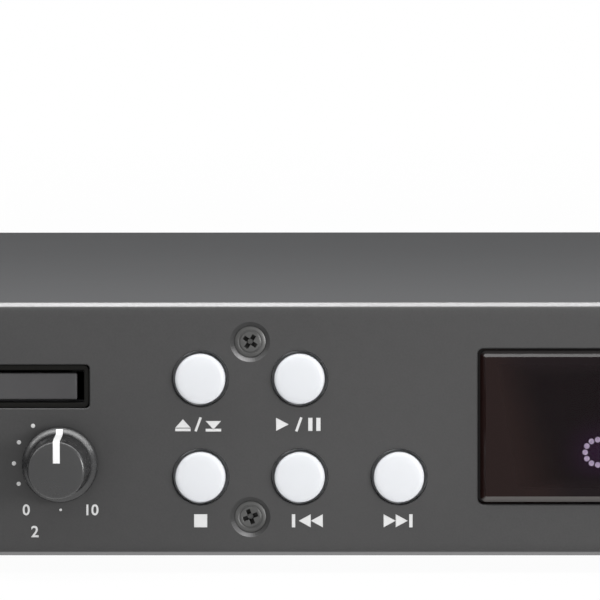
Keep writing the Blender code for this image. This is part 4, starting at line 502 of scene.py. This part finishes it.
loops.append(drilled(bm, 80.85 * MM, 25.5 * MM, cut_edge, 100.1 * MM, 27.2 * MM, 1.0 * MM, 5))
loops.append(drilled(bm, -193.0 * MM, PANEL_MIDDLE, cut_edge, 13.6 * MM, 19.8 * MM))
loops.append(drilled(bm, 152.0 * MM, PANEL_MIDDLE, cut_edge, 13.7 * MM, 6.3 * MM))
for x in (-232.6 * MM, 232.6 * MM):
    for z in (PANEL_MIDDLE - 15.875 * MM, PANEL_MIDDLE + 15.875 * MM):
        loops.append(drilled(bm, x, z, cut_edge, 10.3 * MM, 6.8 * MM, 3.39 * MM, 12))
for side in (0, 1):
    edges = [edge for pair in loops for edge in pair[side]]
    bmesh.ops.triangle_fill(bm, use_beauty=True, use_dissolve=False, edges=edges, normal=(0, -1, 0))
bmesh.ops.recalc_face_normals(bm, faces=bm.faces)


def apart(wires, value, other):
    return wires.sum("ABSOLUTE", value - other, 0.0)


def anodised():
    """Bead blasted and anodised plate: a fine even grain, brighter where the bevel was cut, with a painted highlight on
    the countersink walls that face up and to the right.
    """
    material, wires = new_finish("anodised_plate")
    grain = noise(wires, 2600.0, 2.0)
    cloth = noise(wires, 500.0, 3.0)
    slow = noise(wires, 14.0, 2.0).span(0.3, 0.7)
    faced = wires.node("ShaderNodeNewGeometry", {}, {}, "True Normal")
    flat = wires.node("ShaderNodeSeparateXYZ", {}, {"Vector": faced}, "Y")
    place = wires.node("ShaderNodeTexCoord", {}, {}, "Object")
    along = wires.node("ShaderNodeSeparateXYZ", {}, {"Vector": place}, "X")
    across = apart(wires, along, 0.0)
    upward = apart(wires, wires.node("ShaderNodeSeparateXYZ", {}, {"Vector": place}, "Z"), PANEL_MIDDLE)
    rim = wires.sum("MAXIMUM", across.span(240.5 * MM, 240.7 * MM), upward.span(21.2 * MM, 21.4 * MM))
    column = wires.sum("MINIMUM", apart(wires, along, SCREWS[2][0]), apart(wires, across, SCREWS[4][0]))
    sink = 1.0 - wires.sum("MAXIMUM", column, apart(wires, upward, SCREWS[4][1] - PANEL_MIDDLE)).span(3.4 * MM, 3.6 * MM)
    # Painted highlight: near the screws, countersink walls that lean up and to the right get the bright cut-metal
    # colour, standing in for light falling on them.
    lean = wires.node("ShaderNodeSeparateXYZ", {}, {"Vector": faced}, "Z") * 0.85 + wires.node("ShaderNodeSeparateXYZ", {}, {"Vector": faced}, "X") * 0.5
    slope = (1.0 - (flat * flat - 0.5) * (flat * flat - 0.5) * 12.0).span(0.0, 0.6)
    # cut holds the truly cut bevel round the plate's edge and also the painted highlight in the countersinks.
    cut = slope * wires.sum("MAXIMUM", rim, sink * lean.span(0.45, 0.70, 0.0, 0.7))
    colour = mixed(wires, grain * 0.5 + cloth * 0.2 + slow * 0.3, (0.0235, 0.0235, 0.024, 1.0), (0.0505, 0.0495, 0.0495, 1.0))
    skin(wires, {
        "Base Color": mixed(wires, cut, colour, (0.235, 0.233, 0.235, 1.0)),
        "Metallic": cut * 0.8,
        "Roughness": (grain * 0.6 + slow * 0.4).span(0.2, 0.8, 0.46, 0.58) - cut * 0.12,
        "Specular IOR Level": 0.5,
        "Normal": wires.node("ShaderNodeBump", {}, {"Height": grain + cloth, "Strength": 0.35, "Distance": 0.025 * MM})})
    return material


plate = anodised()
piece("machined_front_panel", bm, plate, "panel", "case", "front_panel", flat=True)

# A black collar lines the tray slot. Its plastic is a darker copy of the black moulding: painted shade for the recess
# it sits in.
bm = bmesh.new()
liner_face = PANEL_FACE + 0.5 * MM
liner_back = PANEL_REAR - 0.1 * MM
collar = [(liner_back, 0.0), (liner_face + 0.1 * MM, 0.0), (liner_face, -0.1 * MM), (liner_face, -0.75 * MM),
          (liner_face + 0.15 * MM, -0.95 * MM), (liner_back, -0.95 * MM)]
outer, inner = drilled(bm, -104.1 * MM, 32.5 * MM, collar, 134.9 * MM, 7.5 * MM, 1.15 * MM, 4)
bmesh.ops.bridge_loops(bm, edges=outer + inner)
bmesh.ops.recalc_face_normals(bm, faces=bm.faces)
shaded_slot_black = moulding("shaded_slot_black", (0.0075, 0.0073, 0.0065, 1.0), (0.012, 0.012, 0.011, 1.0), 0.7, 1200.0, 0.03, 0.1)
piece("tray_slot_liner", bm, shaded_slot_black, "black_plastic", "case", flat=True)


# Six countersunk screws hold the panel to the chassis: black oxide steel with
# a cross recess, their heads sunk a little below the face.
HEAD_LEVEL = PANEL_FACE + 0.55 * MM


def cut_away(bm, tool):
    """The bmesh less the tool's shape."""
    blanks = []
    for part in (bm, tool):
        mesh = bpy.data.meshes.new("blank")
        part.to_mesh(mesh)
        part.free()
        blanks.append(bpy.data.objects.new("blank", mesh))
        bpy.context.scene.collection.objects.link(blanks[-1])
    cutter = blanks[0].modifiers.new("cut", "BOOLEAN")
    cutter.operation = "DIFFERENCE"
    cutter.solver = "EXACT"
    cutter.object = blanks[1]
    bpy.context.view_layer.update()
    result = bmesh.new()
    result.from_object(blanks[0], bpy.context.evaluated_depsgraph_get())
    for blank in blanks:
        mesh = blank.data
        bpy.data.objects.remove(blank)
        bpy.data.meshes.remove(mesh)
    return result


def crossed(profile, angle, steps=48):
    """A screw along Y with its head in front, and a cross recess cut one arm at a time."""
    head = turned([(r * MM, y * MM) for r, y in profile], (0, 0, 0), steps)
    for turn in (0, 90):
        arm = bmesh.new()
        near = ring(arm, 0.0, -0.2 * MM, 0.0, 3.0 * MM, 0.75 * MM)
        deep = ring(arm, 0.0, 1.3 * MM, 0.0, 0.9 * MM, 0.55 * MM)
        bmesh.ops.bridge_loops(arm, edges=near + deep)
        bmesh.ops.holes_fill(arm, edges=arm.edges, sides=4)
        bmesh.ops.recalc_face_normals(arm, faces=arm.faces)
        bmesh.ops.rotate(arm, verts=arm.verts, cent=(0, 0, 0), matrix=Matrix.Rotation(math.radians(angle + turn), 3, "Y"))
        head = cut_away(head, arm)
    return head


sunk_profile = [(0.0, 0.0), (1.75, 0.0), (1.85, 0.1), (2.0, 0.12), (2.1, 0.03), (2.5, 0.05), (2.72, 0.14), (2.82, 0.3), (2.82, 0.4),
                (1.5, 1.7), (1.5, 7.2), (1.2, 7.5), (0.0, 7.5)]
for number, (x, z) in enumerate(SCREWS, 1):
    bm = crossed(sunk_profile, 20 + 35 * number)
    bmesh.ops.translate(bm, verts=bm.verts, vec=(x, HEAD_LEVEL, z))
    piece("countersunk_screw_" + str(number), bm, dark_screw, "screw_black", "case", "panel_screw_" + str(number))


# The printing: white silk-screened signs under the buttons, plain numbers at
# the ends of each knob's travel, and dots round its left half.
PRINT_DEPTH = 0.03 * MM
HIGH_SIGNS = 25.9 * MM
LOW_SIGNS = 9.1 * MM
SIGN_TALL = 2.3 * MM


def bar(bm, x, z, wide, tall, lean=0.0):
    points = bmesh.ops.create_grid(bm, x_segments=1, y_segments=1, size=0.5)["verts"]
    bmesh.ops.scale(bm, verts=points, vec=(wide, tall, 1.0))
    bmesh.ops.rotate(bm, verts=points, cent=(0, 0, 0), matrix=Matrix.Rotation(lean, 3, "Z"))
    bmesh.ops.translate(bm, verts=points, vec=(x, z, 0.0))


def arrow(bm, x, z, along, across, turn):
    """A triangle that points right before its turn."""
    points = [bm.verts.new((u * along, v * across, 0.0)) for u, v in ((0.5, 0.0), (-0.5, 0.5), (-0.5, -0.5))]
    bm.faces.new(points)
    bmesh.ops.rotate(bm, verts=points, cent=(0, 0, 0), matrix=Matrix.Rotation(turn, 3, "Z"))
    bmesh.ops.translate(bm, verts=points, vec=(x, z, 0.0))


def numeral(bm, text, x, z, tall):
    curve = bpy.data.curves.new("numeral", "FONT")
    curve.body = text
    curve.size = tall * 1.38
    curve.offset = tall * 0.03
    curve.align_x = "CENTER"
    curve.align_y = "CENTER"
    figure = bpy.data.objects.new("numeral", curve)
    bpy.context.scene.collection.objects.link(figure)
    bpy.context.view_layer.update()
    mesh = bpy.data.meshes.new_from_object(figure)
    mesh.transform(Matrix.Translation((x, z, 0.0)))
    bm.from_mesh(mesh)
    bpy.data.objects.remove(figure)
    bpy.data.curves.remove(curve)
    bpy.data.meshes.remove(mesh)


def screened(bm, level, thick):
    """Turns flat print upright on a face at this level and gives it its thickness."""
    bmesh.ops.rotate(bm, verts=bm.verts, cent=(0, 0, 0), matrix=Matrix.Rotation(math.pi / 2, 3, "X"))
    bmesh.ops.translate(bm, verts=bm.verts, vec=(0.0, level - thick, 0.0))
    bmesh.ops.recalc_face_normals(bm, faces=bm.faces)
    sides = bmesh.ops.extrude_face_region(bm, geom=bm.faces[:])["geom"]
    bmesh.ops.translate(bm, verts=[p for p in sides if isinstance(p, bmesh.types.BMVert)], vec=(0.0, thick * 1.3, 0.0))
    bmesh.ops.recalc_face_normals(bm, faces=bm.faces)


signs = bmesh.new()
quarter = math.pi / 2
arrow(signs, -20.4 * MM, HIGH_SIGNS + 0.15 * MM, 1.5 * MM, 2.7 * MM, quarter)
bar(signs, -20.4 * MM, HIGH_SIGNS - 0.95 * MM, 2.7 * MM, 0.5 * MM)
bar(signs, -17.75 * MM, HIGH_SIGNS, 0.45 * MM, 2.6 * MM, -0.35)
arrow(signs, -15.1 * MM, HIGH_SIGNS - 0.15 * MM, 1.5 * MM, 2.7 * MM, -quarter)
bar(signs, -15.1 * MM, HIGH_SIGNS - 1.0 * MM, 2.7 * MM, 0.5 * MM)
arrow(signs, -3.1 * MM, HIGH_SIGNS, 2.2 * MM, SIGN_TALL, 0.0)
bar(signs, -0.25 * MM, HIGH_SIGNS, 0.45 * MM, 2.6 * MM, -0.35)
bar(signs, 1.75 * MM, HIGH_SIGNS, 0.75 * MM, SIGN_TALL)
bar(signs, 3.15 * MM, HIGH_SIGNS, 0.75 * MM, SIGN_TALL)
bar(signs, -17.35 * MM, LOW_SIGNS, 2.3 * MM, 2.3 * MM)
bar(signs, -1.2 * MM, LOW_SIGNS, 0.6 * MM, SIGN_TALL)
arrow(signs, 0.75 * MM, LOW_SIGNS, 2.1 * MM, SIGN_TALL, math.pi)
arrow(signs, 2.85 * MM, LOW_SIGNS, 2.1 * MM, SIGN_TALL, math.pi)
arrow(signs, 15.5 * MM, LOW_SIGNS, 2.1 * MM, SIGN_TALL, 0.0)
arrow(signs, 17.6 * MM, LOW_SIGNS, 2.1 * MM, SIGN_TALL, 0.0)
bar(signs, 19.2 * MM, LOW_SIGNS, 0.6 * MM, SIGN_TALL)
for number, x in enumerate(sorted(KNOBS.values())):
    numeral(signs, "0", x - 6.0 * MM, 10.9 * MM, 1.9 * MM)
    numeral(signs, "10", x + 5.3 * MM, 10.9 * MM, 1.9 * MM)
    if number:
        numeral(signs, str(number), x - 4.5 * MM, 7.1 * MM, 2.0 * MM)
    for angle in (36, 63, 90, 116, 180):
        points = bmesh.ops.create_circle(signs, cap_ends=True, segments=16, radius=(0.38 if angle < 180 else 0.24) * MM)["verts"]
        spot = (x - 8.1 * MM * math.sin(math.radians(angle)), CONTROL_HEIGHT + 8.1 * MM * math.cos(math.radians(angle)), 0.0)
        bmesh.ops.translate(signs, verts=points, vec=spot)
for number, x in enumerate(sorted(SOCKETS.values()), 1):
    numeral(signs, str(number), x, 8.6 * MM, 2.0 * MM)
screened(signs, PANEL_FACE, PRINT_DEPTH)
print_white = moulding("screen_print", (0.70, 0.70, 0.70, 1.0), (0.62, 0.62, 0.62, 1.0), 0.6, 2000.0, 0.01)
piece("printed_signs", signs, print_white, "white_plastic", "case")


# Five push buttons: white moulded caps with a softly crowned face, loose in
# their holes, on stems that press the switches of the board behind.
white_cap = moulding("white_cap", (0.665, 0.68, 0.705, 1.0), (0.73, 0.74, 0.76, 1.0), 0.38, 900.0, 0.004)
cap_profile = [(0.0, 0.0), (1.6, 0.02), (2.8, 0.07), (3.5, 0.13), (3.85, 0.2), (4.1, 0.32), (4.26, 0.48), (4.35, 0.75),
               (4.35, 5.1), (5.8, 5.1), (5.8, 5.9), (1.5, 5.9)]
for name, (x, z) in BUTTONS.items():
    node = name + "_button"
    low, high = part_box(node)
    profile = [(r * MM, y * MM) for r, y in cap_profile]
    profile += [(1.5 * MM, high.y - low.y), (0.0, high.y - low.y)]
    bm = turned(profile, (x, low.y, z), 72)
    piece("cap_" + name, bm, white_cap, "white_plastic", name + "_body", node)


# Three knobs: black skirted caps with shallow flutes for the fingers and a
# white line moulded in, pressed on the shafts of the potentiometers.
KNOB_BACK = -117.0 * MM
KNOB_FACE = -132.5 * MM
KNOB_STEPS = 144
knob_profile = [(0.0, 0.06), (4.4, 0.06), (4.65, 0.12), (4.85, 0.27), (4.98, 0.5), (5.05, 0.85), (5.1, 1.25),
                (5.38, 11.2), (5.44, 11.55), (5.58, 11.78), (6.0, 12.16), (6.4, 12.56), (6.54, 12.76), (6.6, 13.0),
                (6.6, 15.3), (6.45, 15.5), (3.0, 15.5), (3.0, 25.0), (0.0, 25.0)]
knob_black = moulding("knob_black", (0.014, 0.014, 0.0145, 1.0), (0.045, 0.045, 0.046, 1.0), 0.25, 1500.0, 0.003, 0.7)
inlay = moulding("white_inlay", (0.82, 0.82, 0.82, 1.0), (0.88, 0.88, 0.88, 1.0), 0.45)
for node, x in KNOBS.items():
    body = node.replace("_knob", "") + "_body"
    bm = turned([(r * MM, y * MM) for r, y in knob_profile], (0.0, 0.0, 0.0), KNOB_STEPS)
    for point in bm.verts:
        radius = math.hypot(point.co.x, point.co.z)
        if 1.2 * MM < point.co.y < 11.3 * MM and radius > 5.0 * MM:
            turn = math.atan2(point.co.x, point.co.z)
            flute = max(0.0, math.cos(turn * 18.0 + math.pi)) * 0.15 * MM
            point.co.x -= flute * math.sin(turn)
            point.co.z -= flute * math.cos(turn)
    bmesh.ops.translate(bm, verts=bm.verts, vec=(x, KNOB_FACE, CONTROL_HEIGHT))
    piece("fluted_" + node, bm, knob_black, "black_plastic", body, node)
    bm = bmesh.new()
    line = [(1.2, 0.0), (4.42, 0.0), (4.69, 0.06), (4.9, 0.23), (5.03, 0.48), (5.1, 0.84), (5.15, 1.24), (5.43, 11.18),
            (5.49, 11.52), (5.62, 11.73), (6.25, 12.36), (6.1, 12.7), (4.6, 12.0), (4.2, 1.2), (1.2, 0.4)]
    start = [bm.verts.new((x - 0.6 * MM, KNOB_FACE + y * MM, CONTROL_HEIGHT + r * MM)) for r, y in line]
    side = bm.faces.new(start)
    grown = bmesh.ops.extrude_face_region(bm, geom=[side])["geom"]
    bmesh.ops.translate(bm, verts=[p for p in grown if isinstance(p, bmesh.types.BMVert)], vec=(1.2 * MM, 0, 0))
    bmesh.ops.recalc_face_normals(bm, faces=bm.faces)
    piece("pointer_of_" + node, bm, inlay, "white_plastic", body)


# Two microphone sockets: threaded black bushings through the panel, each held
# by a plated hexagon nut.
dress(nickel, "volume_pot_1", "volume_pot_2", "echo_pot")
for node, x in SOCKETS.items():
    piece("moulded_" + node, eased(node, 0.25 * MM), black_moulding, "black_plastic", "case", node, flat=True)
    sleeve = [(3.23, -118.9), (3.23, -95.0), (3.0, -95.0), (3.0, -118.7), (3.12, -118.95), (3.23, -118.9)]
    bm = turned([(r * MM, y * MM) for r, y in sleeve], (x, 0.0, CONTROL_HEIGHT), 40)
    piece("contact_sleeve_" + node[-1], bm, nickel, "nickel", "case")
    nut = "mic_nut" + node[-2:]
    bm = bmesh.new()
    low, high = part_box(nut)
    outer = [(low.y, -0.55 * MM), (low.y + 0.5 * MM, 0.0), (high.y - 0.5 * MM, 0.0), (high.y, -0.55 * MM)]
    inner = [(low.y, 0.3 * MM), (low.y + 0.3 * MM, 0.0), (high.y, 0.0)]
    across = 12.0 * MM / math.cos(math.radians(30.0))
    front, back = drilled(bm, x, CONTROL_HEIGHT, outer, across, steps=6)
    hole_front, hole_back = drilled(bm, x, CONTROL_HEIGHT, inner, 9.6 * MM, steps=48)
    bmesh.ops.triangle_fill(bm, use_beauty=True, use_dissolve=False, edges=front + hole_front, normal=(0, -1, 0))
    bmesh.ops.triangle_fill(bm, use_beauty=True, use_dissolve=False, edges=back + hole_back, normal=(0, 1, 0))
    bmesh.ops.recalc_face_normals(bm, faces=bm.faces)
    piece("plated_" + nut, bm, nickel, "nickel", "case", nut, flat=True)


# The display: a glass tube of glowing dots behind a smoked acrylic window
# with a cut bevel, which is painted black inside round the tube. The bevel's
# upper and lower faces carry painted reflections, and the window is painted
# lighter and redder at its left end.
WINDOW_X = 80.85 * MM
WINDOW_Z = 25.5 * MM


def smoked():
    material, wires = new_finish("smoked_window")
    place = wires.node("ShaderNodeTexCoord", {}, {}, "Object")
    across = wires.node("ShaderNodeSeparateXYZ", {}, {"Vector": place}, "X") - WINDOW_X
    upward = wires.node("ShaderNodeSeparateXYZ", {}, {"Vector": place}, "Z") - WINDOW_Z
    far_x = wires.sum("ABSOLUTE", across, 0.0)
    far_z = wires.sum("ABSOLUTE", upward, 0.0)
    paint = wires.sum("MAXIMUM", (far_x - upward * 0.16).span(38.0 * MM, 45.0 * MM), far_z.span(8.6 * MM, 11.0 * MM))
    haze = noise(wires, 40.0, 3.0)
    # The window is painted lighter and redder at its left end, fading to a darker tint towards the right along a
    # slanting edge.
    darker_away_from_left_end = (across + upward * 0.35).span(-43.5 * MM, -37.0 * MM) * 0.75 + across.span(-38.0 * MM, 10.0 * MM) * 0.25
    tint_and_painted_light = mixed(wires, darker_away_from_left_end, (0.0125, 0.0055, 0.0050, 1.0), (0.0045, 0.0022, 0.0036, 1.0))
    # Painted reflections: the bevel's upward faces are coloured a lighter grey and its downward faces lighter still, as
    # if catching light.
    side = wires.node("ShaderNodeNewGeometry", {}, {}, "True Normal")
    lean = wires.node("ShaderNodeSeparateXYZ", {}, {"Vector": side}, "Z")
    tint_and_painted_light = mixed(wires, lean.span(0.3, 0.6), tint_and_painted_light, (0.036, 0.033, 0.033, 1.0))
    tint_and_painted_light = mixed(wires, (lean * -1.0).span(0.3, 0.6), tint_and_painted_light, (0.115, 0.108, 0.105, 1.0))
    skin(wires, {
        "Base Color": tint_and_painted_light,
        "Roughness": haze.span(0.3, 0.7, 0.05, 0.09),
        "Specular IOR Level": 0.13,
        "Alpha": paint.span(0.0, 1.0, 0.62, 1.0)})
    return material


bm = bmesh.new()
lens = [(-116.9 * MM, -1.45 * MM), (-115.9 * MM, -0.45 * MM), (-113.2 * MM, -0.45 * MM)]
front, middle = drilled(bm, WINDOW_X, WINDOW_Z, lens, 100.1 * MM, 27.2 * MM, 1.5 * MM, 6)
flange_front, flange_back = drilled(bm, WINDOW_X, WINDOW_Z, [(-113.2 * MM, 2.6 * MM), (-112.2 * MM, 2.6 * MM)],
                                    100.1 * MM, 27.2 * MM, 1.5 * MM, 6)
bmesh.ops.bridge_loops(bm, edges=middle + flange_front)
for loop in (front, flange_back):
    bmesh.ops.contextual_create(bm, geom=loop)
bmesh.ops.recalc_face_normals(bm, faces=bm.faces)
piece("bevelled_window", bm, smoked(), "smoked_acrylic", "case", "display_lens", flat=True)

RING_X = 51.7 * MM
RING_Z = 20.5 * MM
FIGURES_Z = 25.5 * MM
material, wires = new_finish("tube_glass")
mesh_lines = noise(wires, 1200.0, 1.0, (1.0, 1.0, 0.05))
place = wires.node("ShaderNodeTexCoord", {}, {}, "Object")
# Painted glow: the tube's glass gives off a violet halo round the ring of dots, as light spilling from them.
away = wires.node("ShaderNodeVectorMath", {"operation": "DISTANCE"}, {0: place, 1: (RING_X, -109.5 * MM, RING_Z)}, "Value")
halo = 1.0 - away.span(1.0 * MM, 8.0 * MM)
skin(wires, {"Base Color": mixed(wires, mesh_lines, (0.006, 0.005, 0.006, 1.0), (0.012, 0.011, 0.013, 1.0)),
             "Roughness": mesh_lines.span(0.0, 1.0, 0.08, 0.16), "Specular IOR Level": 0.2,
             "Emission Color": mixed(wires, halo * halo, (0.0, 0.0, 0.0, 1.0), (0.080, 0.022, 0.105, 1.0)),
             "Emission Strength": 1.0})
dress(material, "display_tube")
figures = bmesh.new()
for step in range(12):
    angle = math.tau * step / 12
    points = bmesh.ops.create_circle(figures, cap_ends=True, segments=12, radius=0.5 * MM)["verts"]
    spot = (RING_X + 2.2 * MM * math.cos(angle), RING_Z + 2.2 * MM * math.sin(angle), 0.0)
    bmesh.ops.translate(figures, verts=points, vec=spot)
for left in (62.0 * MM, 72.0 * MM, 86.0 * MM, 96.0 * MM):
    for x, z, wide, tall in ((3.0, 5.0, 4.6, 0.9), (3.0, -5.0, 4.6, 0.9), (0.0, 2.6, 0.9, 4.2), (0.0, -2.6, 0.9, 4.2),
                             (6.0, 2.6, 0.9, 4.2), (6.0, -2.6, 0.9, 4.2)):
        bar(figures, left + x * MM, FIGURES_Z + z * MM, wide * MM, tall * MM)
for z in (-2.0, 2.0):
    bar(figures, 82.0 * MM, FIGURES_Z + z * MM, 0.9 * MM, 0.9 * MM)
screened(figures, -109.5 * MM, 0.05 * MM)
material, wires = new_finish("lit_phosphor")
uneven = noise(wires, 2500.0, 2.0).span(0.3, 0.7)
skin(wires, {"Base Color": (0.30, 0.26, 0.33, 1.0), "Roughness": 0.6,
             "Emission Color": mixed(wires, uneven, (0.50, 0.38, 0.60, 1.0), (0.85, 0.70, 0.92, 1.0)), "Emission Strength": 3.4})
piece("lit_figures", figures, material, "display_glass", "case")


# The power switch and the memory socket: a rocker in its bezel, snapped into
# the left end of the panel, and a plated shell behind the right end.
piece("moulded_power_switch", eased("power_switch", 0.35 * MM), black_moulding, "black_plastic", "case", "power_switch", flat=True)
piece("moulded_power_rocker", eased("power_rocker", 0.3 * MM), black_moulding, "black_plastic", "rocker_body", "power_rocker", flat=True)


def laid_on(bm, node, lift):
    """Drops flat print, drawn upright in front of a node, on to the node's face."""
    solid = bmesh.new()
    solid.from_mesh(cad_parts[node].data)
    tree = BVHTree.FromBMesh(solid)
    solid.free()
    for point in bm.verts:
        hit = tree.ray_cast(Vector((point.co.x, -0.2, point.co.z)), Vector((0.0, 1.0, 0.0)))[0]
        point.co.y = hit.y - lift


marks = bmesh.new()
bar(marks, -193.0 * MM, 29.3 * MM, 0.6 * MM, 3.0 * MM)
outer_mark = bmesh.ops.create_circle(marks, cap_ends=False, segments=40, radius=1.6 * MM)["verts"]
inner_mark = bmesh.ops.create_circle(marks, cap_ends=False, segments=40, radius=1.05 * MM)["verts"]
bmesh.ops.translate(marks, verts=outer_mark + inner_mark, vec=(-193.0 * MM, 20.4 * MM, 0.0))
bmesh.ops.bridge_loops(marks, edges=list({edge for point in outer_mark + inner_mark for edge in point.link_edges}))
bmesh.ops.rotate(marks, verts=marks.verts, cent=(0, 0, 0), matrix=Matrix.Rotation(math.pi / 2, 3, "X"))
bmesh.ops.recalc_face_normals(marks, faces=marks.faces)
grown = bmesh.ops.extrude_face_region(marks, geom=marks.faces[:])["geom"]
laid_on(marks, "power_rocker", 0.05 * MM)
bmesh.ops.translate(marks, verts=[p for p in grown if isinstance(p, bmesh.types.BMVert)], vec=(0.0, 0.1 * MM, 0.0))
bmesh.ops.recalc_face_normals(marks, faces=marks.faces)
piece("rocker_marks", marks, print_white, "white_plastic", "rocker_body")

piece("folded_usb_port", eased("usb_port", 0.12 * MM), nickel, "nickel", "case", "usb_port", flat=True)
low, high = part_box("usb_port")
bm = bmesh.new()
block(bm, (146.9 * MM, low.y + 0.8 * MM, 23.95 * MM), (157.1 * MM, high.y - 1.0 * MM, 26.05 * MM))
rounded(bm, 0.15 * MM)
piece("usb_tongue", bm, moulding("tongue_blue", (0.03, 0.05, 0.16, 1.0), (0.05, 0.07, 0.2, 1.0), 0.45), "black_plastic", "case")


# The top cover: lid and sides folded from one sheet of steel with a charcoal
# powder coat, slid over the chassis and screwed to it at the sides.
charcoal = powder_coat("charcoal_coat", (0.087, 0.0875, 0.090, 1.0), (0.128, 0.129, 0.133, 1.0), 0.8, 0.3, 1.12)
dress(charcoal, "top_cover")
domed_profile = [(0.0, 0.0), (1.2, 0.05), (2.2, 0.3), (2.8, 0.7), (3.05, 1.2), (3.05, 1.45), (1.5, 1.6), (1.5, 5.0), (0.0, 5.0)]
low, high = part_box("top_cover")
for number, (side, y) in enumerate(((-1, -80.0), (-1, 90.3), (1, -80.0), (1, 90.3)), 1):
    bm = crossed(domed_profile, 25 * number, 40)
    bmesh.ops.rotate(bm, verts=bm.verts, cent=(0, 0, 0), matrix=Matrix.Rotation(side * math.pi / 2, 3, "Z"))
    bmesh.ops.translate(bm, verts=bm.verts, vec=(high.x if side > 0 else low.x, y * MM, 10.5 * MM))
    piece("cover_screw_" + str(number), bm, dark_screw, "screw_black", "case")
